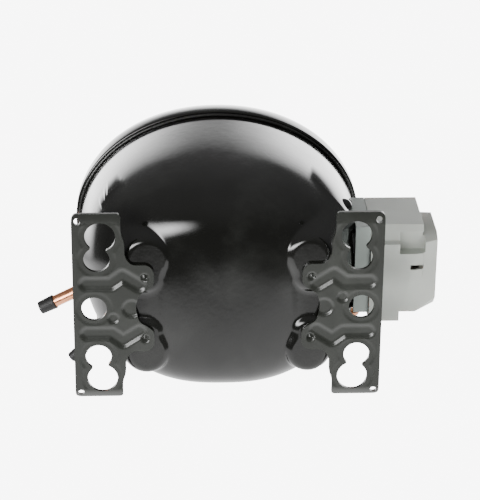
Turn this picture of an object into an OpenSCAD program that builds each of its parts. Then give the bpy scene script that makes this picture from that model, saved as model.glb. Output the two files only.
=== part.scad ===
// Hermetic reciprocating compressor: a welded oval shell on two stamped base plates, with a
// spring-hung motor and pump inside, a plug-on terminal box and three copper tubes.
// The base plates lie on Z = 0, their bolt pattern is centred on the origin, and the
// terminal box is on the +X side.

/* [Shell] */
// Length of the shell over its welded rim, along X
shell_len = 201.6; // [199:0.2:204]
// Depth of the shell over its welded rim, along Y
shell_dep = 161.6; // [160:0.2:164]
// Height of the weld above the base plates' underside
seam_z = 140; // [138:1:142]
// Height of the top of the shell
total_h = 200; // [197:1:206]
// Thickness of the shell's sheet steel
wall = 3; // [2.6:0.1:3.2]
// Shell centre from the bolt pattern's centre, along X
shell_x = -3; // [-4:0.5:-2]
// Shell centre from the bolt pattern's centre, along Y
shell_y = -4.5; // [-6:0.5:-3]

/* [Base plates] */
// Sheet thickness of the base plates
plate_t = 2.5; // [2:0.1:3]
// Inch bolt pattern along X, between the large holes
inch_x = 165.1; // [165:0.1:165.2]
// Inch bolt pattern along Y, between the large holes
inch_y = 101.6; // [101.5:0.1:101.7]
// Radius of the large grommet holes
inch_r = 9.9; // [9.5:0.1:10.1]
// Metric bolt pattern along X, between the small holes
metric_x = 170; // [169.8:0.1:170.2]
// Metric bolt pattern along Y, between the small holes
metric_y = 70; // [69.8:0.1:70.2]
// Radius of the small grommet holes
metric_r = 8.5; // [8.2:0.1:8.7]
// Distance of the single middle holes from the centre
mid_x = 87.2; // [87:0.1:87.4]
// Radius of the single middle holes
mid_r = 8.25; // [8:0.05:8.5]

/* [Tubes] */
// Outside radius of the suction tube
suction_r = 4.1; // [3.9:0.05:4.3]
// Outside radius of the process and discharge tubes
small_tube_r = 3.2; // [3:0.05:3.3]
// Wall thickness of the copper tubes
tube_wall = 0.85; // [0.7:0.05:1]
// Length of the shipping caps
cap_len = 11.5; // [10:0.5:12]

/* [Motor and pump] */
// Distance of the crankpin from the shaft's axis, half of the stroke
throw = 9; // [8:0.5:9]
// Radius of the cylinder bore
bore_r = 13; // [12.5:0.1:13.2]
// Radius of the crankshaft's main journal
shaft_r = 8; // [7.8:0.1:8]
// Radial running clearance of the shaft, pin, slide block and piston
run = 0.03; // [0.02:0.01:0.05]
// Radius of the rotor
rotor_r = 31; // [30.5:0.1:31.1]
// Width of the square stator stack
stator_w = 112; // [108:1:114]

/* [Hidden] */
$fn = 48;

// Shell: sections are superellipses that shrink towards the bottom and the top
around = 80;                     // corners round a section
skirt_h = 6;                     // straight edge of the upper shell, outside the lower one
lap_gap = 0.5;                   // gap between the two shells where they lap
rim_a = shell_len / 2 - wall - lap_gap;   // lower shell's half width along X at the seam
rim_b = shell_dep / 2 - wall - lap_gap;   // and along Y
bottom_z = 1;                    // lowest point of the lower shell
round_x = 3.3;                   // how round the shell's profile is along X; 2 is an ellipse
round_y = 5.8;                   // and along Y, where the sides stand steeper
round_top = 2;                   // the same for the upper shell

// Mounting pads pressed out of the lower shell, over the base plates' fingers
pad_x = 54;
pad_y = 28;

// Terminal box, on the +X side
term_y = -5;
term_z = 75;
term_r = 17;
pin_circle = 7;
screw_at = [94.4, 17];            // ground screw, on top of the fence
cover_t = 2;                     // wall of the plastic cover
cover_x = 97.3;                  // where the cover meets its holder
cover_end = 143.3;               // outer face of the cover
floor_z = 45;                    // underside of the cover

// Tubes: where each starts inside the shell, the way it points and its length
suction_from = [-84, 11.2, 70];
suction_turn = 153.4;
suction_len = 48.1;
process_from = [-74.4, 32.8, 50];
process_turn = 137.8;
process_len = 42;
discharge_at = [89.7, 33.6];
discharge_z = 56;
discharge_top = 100;

// Levels of the motor and pump above the base
stator_z = 50;
stator_h = 42;
deck_z = 110;                    // underside of the cylinder block's deck
deck_t = 7;
web_z = 118;                     // underside of the crank web
web_t = 6.5;
bore_z = 138;                    // axis of the cylinder
slide_h = 18;                    // height of the slide block and the yoke
foot_x = 41;                     // feet, bolts and springs, from the shaft
foot_y = 43;
seat_z = 24;                     // lower end of the springs
cap_z = 44.5;                    // upper end of the springs
barrel_x = -59;                  // outer end of the cylinder barrel, from the shaft
gasket_t = 0.6;
vplate_t = 4;
reed_t = 0.4;
reed_len = 19;
reed_y = 5.5;                    // reeds stand this far either side of the bore's middle

function power_fall(u, m) = pow(1 - pow(u, m), 1 / m);

// One level section: a superellipse of half widths a and b and exponent p, at height z
function section(a, b, p, z) = [for (i = [0:around - 1])
    let (t = 360 * i / around, c = cos(t), s = sin(t),
         r = pow(pow(abs(c), p) + pow(abs(s), p), -1 / p))
    [shell_x + a * r * c, shell_y + b * r * s, z]];

// Depths of the sections, from the seam (0) to the pole (nearly 1), closer together at the pole
depths = [for (i = [1:11]) pow(sin(90 * i / 11.4), 0.5)];

// Lower shell's sections, moved in by inset, with a straight stretch up to top_z
function lower_sections(inset, top_z) = concat(
    [section(rim_a - inset, rim_b - inset, 2, top_z), section(rim_a - inset, rim_b - inset, 2, seam_z)],
    [for (u = depths)
        section((rim_a - inset) * power_fall(u, round_x), (rim_b - inset) * power_fall(u, round_y),
                2 + 0.7 * u, seam_z - (seam_z - bottom_z - inset) * u)]);

// Upper shell's sections, from start_z up
function upper_sections(inset, start_z) = concat(
    [section(shell_len / 2 - inset, shell_dep / 2 - inset, 2, start_z),
     section(shell_len / 2 - inset, shell_dep / 2 - inset, 2, seam_z + skirt_h)],
    [for (u = depths)
        section((shell_len / 2 - inset) * power_fall(u, round_top),
                (shell_dep / 2 - inset) * power_fall(u, round_top),
                2 + 0.3 * u, seam_z + skirt_h + (total_h - inset - seam_z - skirt_h) * u)]);

// Closed solid through a list of sections; flip when they run downwards
module loft(rows, flip) {
    n = around;
    k = len(rows);
    sides = [for (j = [0:k - 2], i = [0:n - 1])
        let (a = j * n + i, b = j * n + (i + 1) % n)
        each [[a, b, b + n], [a, b + n, a + n]]];
    ends = [[for (i = [n - 1:-1:0]) i], [for (i = [0:n - 1]) (k - 1) * n + i]];
    faces = concat(sides, ends);
    polyhedron(points = [for (row = rows) each row],
        faces = flip ? faces : [for (f = faces) [for (i = [len(f) - 1:-1:0]) f[i]]]);
}

module lower_dome(inset = 0, top_z = seam_z + 6) loft(lower_sections(inset, top_z), true);

module upper_dome(inset = 0, start_z = seam_z) loft(upper_sections(inset, start_z), false);

// Joins everything under it into one mesh, for pieces that follow the shell's surface
module meshed() resize([0, 0, 0]) union() children();

module at_shaft() translate([shell_x, shell_y, 0]) children();

module four_feet(z = 0) for (x = [-foot_x, foot_x], y = [-foot_y, foot_y]) translate([x, y, z]) children();

module box(lo, hi) translate(lo) cube(hi - lo);

module ring(r_in, r_out, h) difference() {
    cylinder(r = r_out, h = h);
    translate([0, 0, -1]) cylinder(r = r_in, h = h + 2);
}

// Axis along +X from x0 to x1, at the given y and z
module along_x(x0, x1, y, z, r) translate([x0, y, z]) rotate([0, 90, 0]) cylinder(r = r, h = x1 - x0);

// Smooth curve through the points p, with k steps between each two
function glide(p, k) = concat([for (i = [0:len(p) - 2], j = [0:k - 1])
    let (t = j / k, a = p[max(i - 1, 0)], b = p[i], c = p[i + 1], d = p[min(i + 2, len(p) - 1)])
    0.5 * (2 * b + (c - a) * t + (2 * a - 5 * b + 4 * c - d) * t * t + (3 * b - a - 3 * c + d) * t * t * t)],
    [p[len(p) - 1]]);

// Carries the normal n along a list of directions, without twist
function carry(dirs, n, i = 0) = i >= len(dirs) ? []
    : let (m = n - (n * dirs[i]) * dirs[i], u = m / norm(m)) concat([u], carry(dirs, u, i + 1));

// Round rod swept along a smooth curve through the points
module hose(points, r, k = 4, sides = 8) {
    path = glide(points, k);
    n = len(path);
    dirs = [for (i = [0:n - 1]) let (d = path[min(i + 1, n - 1)] - path[max(i - 1, 0)]) d / norm(d)];
    side = carry(dirs, [dirs[0][1] + 0.3, dirs[0][2] - 0.2, dirs[0][0] + 0.1]);
    ringed = [for (i = [0:n - 1], j = [0:sides - 1]) let (w = 360 * j / sides)
        path[i] + r * (cos(w) * side[i] + sin(w) * cross(dirs[i], side[i]))];
    faces = concat(
        [for (i = [0:n - 2], j = [0:sides - 1])
            let (a = i * sides + j, b = i * sides + (j + 1) % sides)
            each [[a, b + sides, b], [a, a + sides, b + sides]]],
        [[for (j = [0:sides - 1]) j], [for (j = [sides - 1:-1:0]) (n - 1) * sides + j]]);
    polyhedron(points = ringed, faces = faces);
}

// ---------------------------------------------------------------- shell and base plates

module pad_form() hull() {
    translate([-0.3, 7, plate_t]) cylinder(r = 10.2, h = 0.5, $fn = 48);
    for (x = [-4.5, 4.5]) translate([x, -6, plate_t]) cylinder(r = 8, h = 0.5, $fn = 24);
    translate([-0.3, 7, 7]) cylinder(r = 14.2, h = 1, $fn = 48);
    translate([-0.3, 7, 30]) cylinder(r = 16, h = 4, $fn = 48);
    for (x = [-3, 3]) translate([x, -8, 30]) cylinder(r = 11, h = 4, $fn = 24);
}

module lower_shell() color("#171a18") meshed() difference() {
    union() {
        lower_dome();
        for (x = [-pad_x, pad_x], s = [-1, 1]) translate([x, 0, 0]) scale([1, s, 1])
            translate([0, pad_y, 0]) pad_form();
        translate([79.8, -45, 62]) sphere(r = 5.5, $fn = 24);   // locating boss
    }
    lower_dome(wall, seam_z + 8);
    along_x(60, 120, term_y, term_z, term_r + 0.3);
    translate(suction_from) rotate([0, 90, suction_turn]) cylinder(r = suction_r + 0.2, h = 30);
    translate(process_from) rotate([0, 90, process_turn]) cylinder(r = small_tube_r + 0.2, h = 30);
    translate([discharge_at[0] - 16, discharge_at[1] - 8, discharge_z])
        rotate([0, 90, 26.565]) cylinder(r = small_tube_r + 0.2, h = 16);
}

module upper_shell() color("#171a18") meshed() difference() {
    upper_dome();
    upper_dome(wall, seam_z - 1);
}

// Weld bead in the corner between the lower shell's wall and the upper shell's edge
module weld_seam() color("#202422") {
    foot = 2.6;                  // height of the bead
    out = shell_len / 2 - 0.4 - rim_a;
    rows = [for (h = [0, foot / 2, foot]) section(rim_a + out * h / foot, rim_b + out * h / foot, 2,
                                                 seam_z - foot + h)];
    meshed() difference() {
        loft(rows, false);
        loft([for (z = [seam_z - foot - 1, seam_z + 1]) section(rim_a + 0.3, rim_b + 0.3, 2, z)], false);
    }
}

// Outline of one base plate on the +X side: a strip with two inward fingers
module plate_outline() offset(r = 2) offset(delta = -2) polygon([for (s = [1, -1]) each
    let (half = [[100.8, 65.9], [69.2, 65.9], [69.2, 53], [67, 47], [67, 37], [63, 31], [52, 31],
                 [48.2, 27], [48.2, 17], [52, 13.5], [58, 10], [60.6, 0]])
    s > 0 ? half : [for (i = [len(half) - 2:-1:0]) [half[i][0], -half[i][1]]]]);

// A grommet hole in two sizes that run into each other, for both bolt patterns
module double_hole(s) {
    translate([inch_x / 2, s * inch_y / 2, -1]) cylinder(r = inch_r, h = 9);
    translate([metric_x / 2, s * metric_y / 2, -1]) cylinder(r = metric_r, h = 9);
}

module base_plate() difference() {
    intersection() {
        union() {
            box([40, -60, 0], [110, 60, plate_t]);
            for (s = [0, 1]) mirror([0, s, 0]) translate([40, 0, 0]) rotate([90, 0, 90])
                linear_extrude(70) polygon([[59, 0], [60.5, 0], [66.5, 3.2], [66.5, 3.2 + plate_t],
                    [60.5, plate_t], [59, plate_t]]);
            for (y = [-15.5, 15.5]) translate([69, y - 3.5, plate_t - 0.5]) cube([25, 7, 1.9]);
        }
        translate([0, 0, -1]) linear_extrude(9) plate_outline();
    }
    for (s = [-1, 1]) {
        double_hole(s);
        translate([97, s * 61.5, -1]) cylinder(r = 2.1, h = 9);
    }
    translate([mid_x, 0, -1]) cylinder(r = mid_r, h = 9);
}

module base_plate_right() color("#2c302e") base_plate();

module base_plate_left() color("#2c302e") rotate([0, 0, 180]) base_plate();

// ---------------------------------------------------------------- copper tubes and their caps

module tube(r, h) difference() {
    cylinder(r = r, h = h);
    translate([0, 0, -1]) cylinder(r = r - tube_wall, h = h + 2);
}

// Closed sleeve over a tube's end: it starts at z = 0 and ends at cap_len
module sleeve_cap(r) difference() {
    cylinder(r = r + 0.9, h = cap_len);
    translate([0, 0, -1]) cylinder(r = r + 0.05, h = cap_len - 0.5);
}

module suction_place() translate(suction_from) rotate([0, 90, suction_turn]) children();

module process_place() translate(process_from) rotate([0, 90, process_turn]) children();

module suction_tube() color("#d98b62") suction_place() tube(suction_r, suction_len - 1.7);

module suction_cap() color("#1c1c1c") suction_place() translate([0, 0, suction_len - cap_len]) sleeve_cap(suction_r);

module process_tube() color("#d98b62") process_place() tube(small_tube_r, process_len - 1.7);

module process_cap() color("#1c1c1c") process_place() translate([0, 0, process_len - cap_len]) sleeve_cap(small_tube_r);

// The discharge tube leaves the shell level and turns straight up
module discharge_tube() color("#d98b62") {
    reach = 15;                  // from the shell's inside to the upright stretch
    bend = 8;                    // radius of the elbow
    translate([discharge_at[0], discharge_at[1], discharge_z]) rotate([0, 0, 26.565]) union() {
        translate([-reach, 0, 0]) rotate([0, 90, 0]) tube(small_tube_r, reach - bend);
        translate([-bend, 0, bend]) rotate([90, 0, 0]) rotate_extrude(angle = -90) translate([bend, 0])
            difference() {
                circle(r = small_tube_r);
                circle(r = small_tube_r - tube_wall);
            }
        translate([0, 0, bend]) tube(small_tube_r, discharge_top - 1.7 - discharge_z - bend);
    }
}

module discharge_cap() color("#1c1c1c") translate([discharge_at[0], discharge_at[1], discharge_top - cap_len])
    sleeve_cap(small_tube_r);

// ---------------------------------------------------------------- terminal box

function pin_at(i) = [term_y + pin_circle * cos(90 + 120 * i), term_z + pin_circle * sin(90 + 120 * i)];

module each_pin(x0, x1, r) for (i = [0:2]) along_x(x0, x1, pin_at(i)[0], pin_at(i)[1], r);

module terminal_body() color("#8d8f8c") difference() {
    along_x(83, 92, term_y, term_z, term_r);
    each_pin(80, 95, 3.2);
}

module terminal_glass() color("#3c5a66") difference() {
    each_pin(83.6, 91.4, 3.2);
    each_pin(80, 95, 1.15);
}

module terminal_pins() color("#b9b4a4") each_pin(73, 104, 1.15);

// Steel fence welded to the shell round the terminal
module terminal_fence() color("#1b1e1c") meshed() difference() {
    box([80, -31, 50], [96.5, 21, 97]);
    box([70, -29.5, 51.5], [110, 19.5, 95.5]);
    translate([screw_at[0], screw_at[1], 90]) cylinder(r = 1.7, h = 12, $fn = 24);
    lower_dome(-0.02);
}

// Plastic frame that fits round the fence and carries the cover
module relay_holder() color("#8b938f") meshed() difference() {
    box([87, -36, 47], [97, 27, 99]);
    box([80, -31.3, 49.7], [110, 21.3, 97.3]);
    translate([screw_at[0], screw_at[1], 90]) cylinder(r = 1.7, h = 12, $fn = 24);
    lower_dome(-0.6);
}

module start_relay() color("#d8d4c6") difference() {
    union() {
        box([98.6, -27, 66], [120, -1.6, 88]);
        box([104, -24, 60], [117, -6, 66.5]);
    }
    each_pin(90, 106, 1.35);
}

module overload_protector() color("#26282a") difference() {
    union() {
        along_x(98.6, 112, 9.8, 72, 11.2);
        along_x(111.5, 115, 9.8, 72, 8);
    }
    each_pin(90, 106, 1.35);
}

module ground_screw() color("#6f8f5c") translate([screw_at[0], screw_at[1], 0]) union() {
    translate([0, 0, 99]) cylinder(r = 3, h = 2.4, $fn = 6);
    translate([0, 0, 95]) cylinder(r = 1.6, h = 4.5);
}

// Outside of the cover: a deep box with a sloping outer floor, a stepped relay bay on its -Y
// side and a short wing on its +Y side; grow moves every face outwards
module cover_form(g = 0) {
    hull() {                     // main box, up to the slope
        box([cover_x - 1, -24 - g, floor_z - g], [128.6, 26 + g, 92 + g]);
        box([cover_x - 1, -28 - g, 58], [128.6, 26 + g, 92 + g]);
    }
    hull() {                     // sloping end with its cut corners
        box([128, -24 - g, floor_z - g], [128.6, 26 + g, 92 + g]);
        box([128, -28 - g, 58], [128.6, 26 + g, 92 + g]);
        box([142, -27.5 - g, 60], [cover_end + g, 26 + g, 92 + g]);
        box([142, -24 - g, 53 - g], [cover_end + g, 19 + g, 60]);
    }
    translate([cover_x - 1, 0, 0]) rotate([90, 0, 90]) linear_extrude(133 + g - cover_x + 1)
        polygon([[-36 - g, 99 + g], [-36 - g, 52 - g], [-31.8, 49.8 - g], [-25.5, 48.5 - g], [-24, 46 - g],
                 [0, 46 - g], [0, 92 + g], [-14 + g, 92 + g], [-14 + g, 99 + g]]);
    box([cover_x - 1, 20, floor_z - g], [118 + g, 33 + g, 90 + g]);
}

module terminal_cover() color("#a3a59f") difference() {
    cover_form();
    difference() {               // inside
        cover_form(-cover_t);
        box([115, -40, 40], [136.4, -15, 56]);
    }
    box([90, -60, 30], [cover_x, 60, 110]);
    box([117, -31, 40], [134.4, -17, 54]);        // finger recess
    box([124.5, -8.5, 40], [133.5, -5.3, 52]);    // latch window
}

// ---------------------------------------------------------------- suspension

module spring_studs() color("#9a9c98") meshed() intersection() {
    at_shaft() four_feet() union() {
        cylinder(r = 4.5, h = 34, $fn = 32);
        translate([0, 0, seat_z - 2]) cylinder(r = 8.2, h = 2, $fn = 32);
    }
    lower_dome(wall + 0.02);
}

// Coil spring: a round wire swept along a helix between two levels
module coil(r, wire, z0, z1, turns) {
    steps = 14;                  // rings in a turn
    sides = 6;
    n = steps * turns;
    points = [for (i = [0:n], j = [0:sides - 1])
        let (t = 360 * i / steps, w = 360 * j / sides, q = r + wire * cos(w))
        [q * cos(t), q * sin(t), z0 + wire + (z1 - z0 - 2 * wire) * i / n + wire * sin(w)]];
    faces = concat(
        [for (i = [0:n - 1], j = [0:sides - 1])
            let (a = i * sides + j, b = i * sides + (j + 1) % sides)
            each [[a, b, b + sides], [a, b + sides, a + sides]]],
        [[for (j = [sides - 1:-1:0]) j], [for (j = [0:sides - 1]) n * sides + j]]);
    polyhedron(points = points, faces = [for (f = faces) [for (i = [len(f) - 1:-1:0]) f[i]]]);
}

module suspension_springs() color("#b4b6b8") meshed() at_shaft() four_feet()
    coil(6.6, 0.9, seat_z, cap_z, 5);

module spring_caps() color("#e4dfcc") at_shaft() four_feet() difference() {
    union() {
        translate([0, 0, cap_z]) cylinder(r = 8.2, h = stator_z - cap_z);
        translate([0, 0, cap_z - 5.5]) cylinder(r = 4.8, h = 6);
    }
    translate([0, 0, stator_z - 4]) cylinder(r = 5.3, h = 6);
}

// ---------------------------------------------------------------- motor

slot_n = 24;

module stator_core() color("#6e6f72") at_shaft() translate([0, 0, stator_z]) difference() {
    w = stator_w / 2;
    c = 9;                       // cut corners
    linear_extrude(stator_h) polygon([[w, c - w], [w, w - c], [w - c, w], [c - w, w],
                                      [-w, w - c], [-w, c - w], [c - w, -w], [w - c, -w]]);
    translate([0, 0, -1]) {
        cylinder(r = rotor_r + 0.5, h = stator_h + 2);
        for (i = [0:slot_n - 1]) rotate([0, 0, 360 * i / slot_n]) {
            translate([rotor_r, -1, 0]) cube([5, 2, stator_h + 2]);
            translate([34, -2.5, 0]) cube([11, 5, stator_h + 2]);
        }
        four_feet() cylinder(r = 2.7, h = stator_h + 2);
    }
}

module winding_ring(z0, z1) translate([0, 0, z0]) rotate_extrude()
    polygon([[37, 0], [45, 0], [47.5, 3], [47.5, z1 - z0 - 2], [46, z1 - z0], [34.6, z1 - z0],
             [34.6, 3]]);

module stator_winding() color("#a5673f") at_shaft() union() {
    winding_ring(36, stator_z - 0.3);
    translate([0, 0, 2 * stator_z + stator_h]) mirror([0, 0, 1]) winding_ring(36, stator_z - 0.3);
    for (i = [0:slot_n - 1]) rotate([0, 0, 360 * i / slot_n])
        translate([34.7, -2.1, stator_z - 1]) cube([10, 4.2, stator_h + 2]);
}

module stator_bolts() color("#9a9c98") at_shaft() four_feet() union() {
    translate([0, 0, stator_z - 4]) cylinder(r = 4.6, h = 4, $fn = 6);
    translate([0, 0, stator_z - 0.5]) cylinder(r = 2.5, h = 56);
}

module cluster_block() color("#e4dfcc") difference() {
    box([72, term_y - 13, term_z - 12], [82, term_y + 13, term_z + 13]);
    each_pin(70, 90, 1.35);
}

module motor_leads() color("#3a3f52") for (i = [0:2]) hose([
    [71.4, term_y - 8 + 8 * i, term_z - 6], [66, term_y - 8 + 8 * i, term_z - 6],
    [60, term_y - 7 + 7 * i, 98], [46.2, term_y - 6 + 6 * i, 101]], 1.2);

// ---------------------------------------------------------------- rotor and crankshaft

module rotor_core() color("#77797b") at_shaft() translate([0, 0, stator_z + 1]) ring(shaft_r, rotor_r, stator_h - 2);

module rotor_rings() color("#c8cacc") at_shaft() for (z = [stator_z - 5, stator_z + stator_h - 1])
    translate([0, 0, z]) ring(20, 30.5, 6);

module balance_weight() color("#8a8c8e") at_shaft() translate([0, 0, stator_z - 9]) difference() {
    ring(21, 30, 4);
    box([0, -40, -1], [40, 40, 10]);
}

module crankshaft() color("#8f9194") at_shaft() difference() {
    union() {
        translate([0, 0, 34]) cylinder(r = shaft_r, h = web_z - 34 + 0.5);
        translate([0, 0, web_z]) cylinder(r = 17, h = web_t);
        translate([0, 0, web_z]) intersection() {          // counterweight
            cylinder(r = 22.5, h = web_t);
            box([-30, -30, 0], [-2, 30, web_t]);
        }
        translate([throw, 0, web_z + web_t - 0.5]) cylinder(r = 7, h = 26.5);
    }
    translate([throw / 2, 0, 60]) cylinder(r = 1.6 + run, h = 120);      // oil gallery
    translate([0, 0, 33]) cylinder(r = 5.5, h = 30);
}

module oil_pickup() color("#b8bbbd") at_shaft() difference() {
    union() {
        translate([0, 0, 20]) cylinder(r = 5.5, h = 22);
        translate([0, 0, 10]) cylinder(r1 = 2.6, r2 = 5.5, h = 10);
    }
    translate([0, 0, 19.9]) cylinder(r = 4.6, h = 23);
    translate([0, 0, 9]) cylinder(r = 1.6, h = 12);
}

module gallery_plug() color("#c9b26a") at_shaft() translate([throw / 2, 0, web_z + web_t + 20]) cylinder(r = 1.6, h = 6);

module thrust_washer() color("#d9dadb") at_shaft() translate([0, 0, deck_z + deck_t]) ring(shaft_r + 0.5, 13, 0.8);

// ---------------------------------------------------------------- pump

module slide_block() color("#7a7c80") at_shaft() translate([throw, 0, bore_z - slide_h / 2]) difference() {
    box([-8 + run, -10, 0], [8 - run, 10, slide_h]);
    translate([0, 0, -1]) cylinder(r = 7 + run, h = slide_h + 2);
}

// Slotted yoke, drawn at its place with the crankpin at +X, and the rod to the piston
module yoke() color("#8f9194") at_shaft() translate([throw, 0, bore_z]) union() {
    difference() {
        box([-13, -25, -slide_h / 2], [13, 25, slide_h / 2]);
        box([-8, -20, -20], [8, 20, 20]);
    }
    along_x(-44, -12.5, 0, 0, 5.5);
}

module piston() color("#a4a6a8") at_shaft() translate([throw, 0, bore_z]) difference() {
    along_x(-48.6, -26, 0, 0, bore_r - run);
    along_x(-44, -20, 0, 0, bore_r - 3);
}

module cylinder_block() color("#5d6062") at_shaft() difference() {
    union() {
        box([-48, -50, deck_z], [48, 50, deck_z + deck_t]);
        four_feet(stator_z + stator_h) cylinder(r = 7.5, h = deck_z - stator_z - stator_h + 1);
        translate([0, 0, 98]) cylinder(r = 13.5, h = deck_z - 98 + 1);
        box([barrel_x, -20, deck_z], [-25, 20, bore_z + 20]);
    }
    translate([0, 0, 90]) cylinder(r = shaft_r + run, h = 40);
    along_x(barrel_x - 1, -20, 0, bore_z, bore_r);
    for (y = [-15.5, 15.5], z = [-15.5, 15.5]) along_x(barrel_x - 1, -40, y, bore_z + z, 2);
    four_feet(80) cylinder(r = 2.6, h = 27);
    for (x = [14, 30], s = [-1, 1]) translate([x, 34 * s, 100]) cylinder(r = 6, h = 30);
}

module head_holes(x0, x1) for (y = [-15.5, 15.5], z = [-15.5, 15.5]) along_x(x0, x1, y, bore_z + z, 2.1);

module valve_gasket() color("#4c4a40") at_shaft() difference() {
    box([barrel_x - gasket_t, -20, bore_z - 20], [barrel_x, 20, bore_z + 20]);
    along_x(barrel_x - 2, barrel_x + 1, 0, bore_z, bore_r + 0.1);
    head_holes(barrel_x - 2, barrel_x + 1);
}

plate_x = barrel_x - gasket_t;                   // cylinder side of the valve plate
back_x = plate_x - vplate_t;                     // head side of the valve plate

// Flat reed standing on z = 0 with a round tip, in the YZ plane, reed_t thick towards +X
module reed() rotate([90, 0, 90]) linear_extrude(reed_t) union() {
    translate([-2.6, 0]) square([5.2, reed_len - 4]);
    translate([0, reed_len - 4]) circle(r = 4);
}

module suction_reed() color("#c6c8ca") at_shaft() translate([plate_x + 0.05, -reed_y, bore_z - 9]) reed();

module valve_plate() color("#85888b") at_shaft() difference() {
    box([back_x, -20, bore_z - 20], [plate_x, 20, bore_z + 20]);
    along_x(back_x - 1, plate_x + 1, -reed_y, bore_z - 9 + reed_len - 4, 3);
    along_x(back_x - 1, plate_x + 1, reed_y, bore_z - 9 + reed_len - 4, 2.4);
    head_holes(back_x - 1, plate_x + 1);
}

module discharge_reed() color("#c6c8ca") at_shaft() translate([back_x - 0.05 - reed_t, reed_y, bore_z - 9]) reed();

// Arched stop behind the discharge reed
module reed_stop() color("#a2a4a6") at_shaft() translate([back_x, reed_y, bore_z - 9]) union() {
    box([-3.6, -2.6, -3], [-0.05, 2.6, -0.4]);
    box([-3.6, -2.6, -0.5], [-2.6, 2.6, reed_len]);
}

module head_gasket() color("#4c4a40") at_shaft() difference() {
    box([back_x - gasket_t, -20, bore_z - 20], [back_x, 20, bore_z + 20]);
    box([back_x - 2, -12.5, bore_z - 12.5], [back_x + 1, 12.5, bore_z + 12.5]);
    head_holes(back_x - 2, back_x + 1);
}

module cylinder_head() color("#9da0a2") at_shaft() difference() {
    box([-79, -20, bore_z - 20], [back_x - gasket_t, 20, bore_z + 20]);
    box([-76, -12.5, bore_z - 12.5], [-60, -1, bore_z + 12.5]);
    box([-76, 1, bore_z - 12.5], [-60, 12.5, bore_z + 12.5]);
    translate([-72, -12, bore_z - 4]) rotate([90, 0, 0]) cylinder(r = 3, h = 10);
    head_holes(-90, -60);
}

module head_bolts() color("#9a9c98") at_shaft() for (y = [-15.5, 15.5], z = [-15.5, 15.5])
    translate([-82.5, y, bore_z + z]) rotate([0, 90, 0]) union() {
        cylinder(r = 3.6, h = 3.5, $fn = 6);
        cylinder(r = 1.95, h = 41);
    }

module suction_muffler() color("#e9e5d6") at_shaft() difference() {
    union() {
        box([-60, -48, 120], [-34, -22, 160]);
        box([-76, -38, bore_z - 10], [-59, -22, bore_z + 2]);
        translate([-72, -23, bore_z - 4]) rotate([90, 0, 0]) mirror([0, 0, 1]) cylinder(r = 2.9, h = 6);
        translate([-47, -47, 130]) rotate([90, 0, 0]) cylinder(r = 5, h = 5);
    }
    box([-58, -46, 122], [-36, -24, 158]);
    box([-74, -36, bore_z - 8], [-50, -24, bore_z]);
    translate([-72, -30, bore_z - 4]) rotate([90, 0, 0]) mirror([0, 0, 1]) cylinder(r = 2, h = 20);
    translate([-47, -40, 130]) rotate([90, 0, 0]) cylinder(r = 4, h = 20);
}

module discharge_muffler() color("#5d6062") at_shaft() difference() {
    union() {
        translate([-38, 36, deck_z + deck_t]) cylinder(r = 13, h = 20);
        translate([-38, 36, deck_z + deck_t + 19.5]) cylinder(r1 = 13, r2 = 9, h = 4);
    }
    translate([-38, 36, deck_z + deck_t + 2]) cylinder(r = 11, h = 16);
    translate([-38, 36, deck_z + deck_t + 10]) cylinder(r = 2.6, h = 20);
}

// Inner end of the discharge tube, from the shaft
tube_in = [discharge_at[0] - shell_x - 13.4, discharge_at[1] - shell_y - 6.7];

// Thin steel tube that carries the gas from the muffler to the shell and lets the pump move
module discharge_loop() color("#8b8d8f") at_shaft() hose([
    [-38, 36, deck_z + deck_t + 12], [-38, 36, 135], [-38, 36, 142], [-37, 38, 147], [-28, 52, 152],
    [10, 58, 152], [50, 48, 152],
    [64, 38, 146], [67, 32, 120], [68, 28, 85], [tube_in[0] - 12, tube_in[1] - 6, discharge_z + 6],
    [tube_in[0] - 5, tube_in[1] - 2.5, discharge_z], [tube_in[0] + 1, tube_in[1] + 0.5, discharge_z]], 2);

lower_shell();
upper_shell();
weld_seam();
base_plate_left();
base_plate_right();
suction_tube();
suction_cap();
process_tube();
process_cap();
discharge_tube();
discharge_cap();
terminal_fence();
terminal_body();
terminal_glass();
terminal_pins();
relay_holder();
start_relay();
overload_protector();
terminal_cover();
ground_screw();
spring_studs();
suspension_springs();
spring_caps();
stator_core();
stator_winding();
stator_bolts();
cylinder_block();
thrust_washer();
valve_gasket();
suction_reed();
valve_plate();
discharge_reed();
reed_stop();
head_gasket();
cylinder_head();
head_bolts();
suction_muffler();
discharge_muffler();
discharge_loop();
cluster_block();
motor_leads();
crankshaft();
oil_pickup();
gallery_plug();
rotor_core();
rotor_rings();
balance_weight();
slide_block();
yoke();
piston();
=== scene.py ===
"""Looks of a hermetic reciprocating compressor: a black welded shell on stamped base plates,
a plug-on terminal box, copper tubes with caps, and the spring-hung pump inside."""

import math

import bmesh
import bpy
import numpy as np
from bpy.props import FloatProperty, FloatVectorProperty, IntProperty, PointerProperty
from mathutils import Matrix, Vector
from mathutils.geometry import delaunay_2d_cdt


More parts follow.
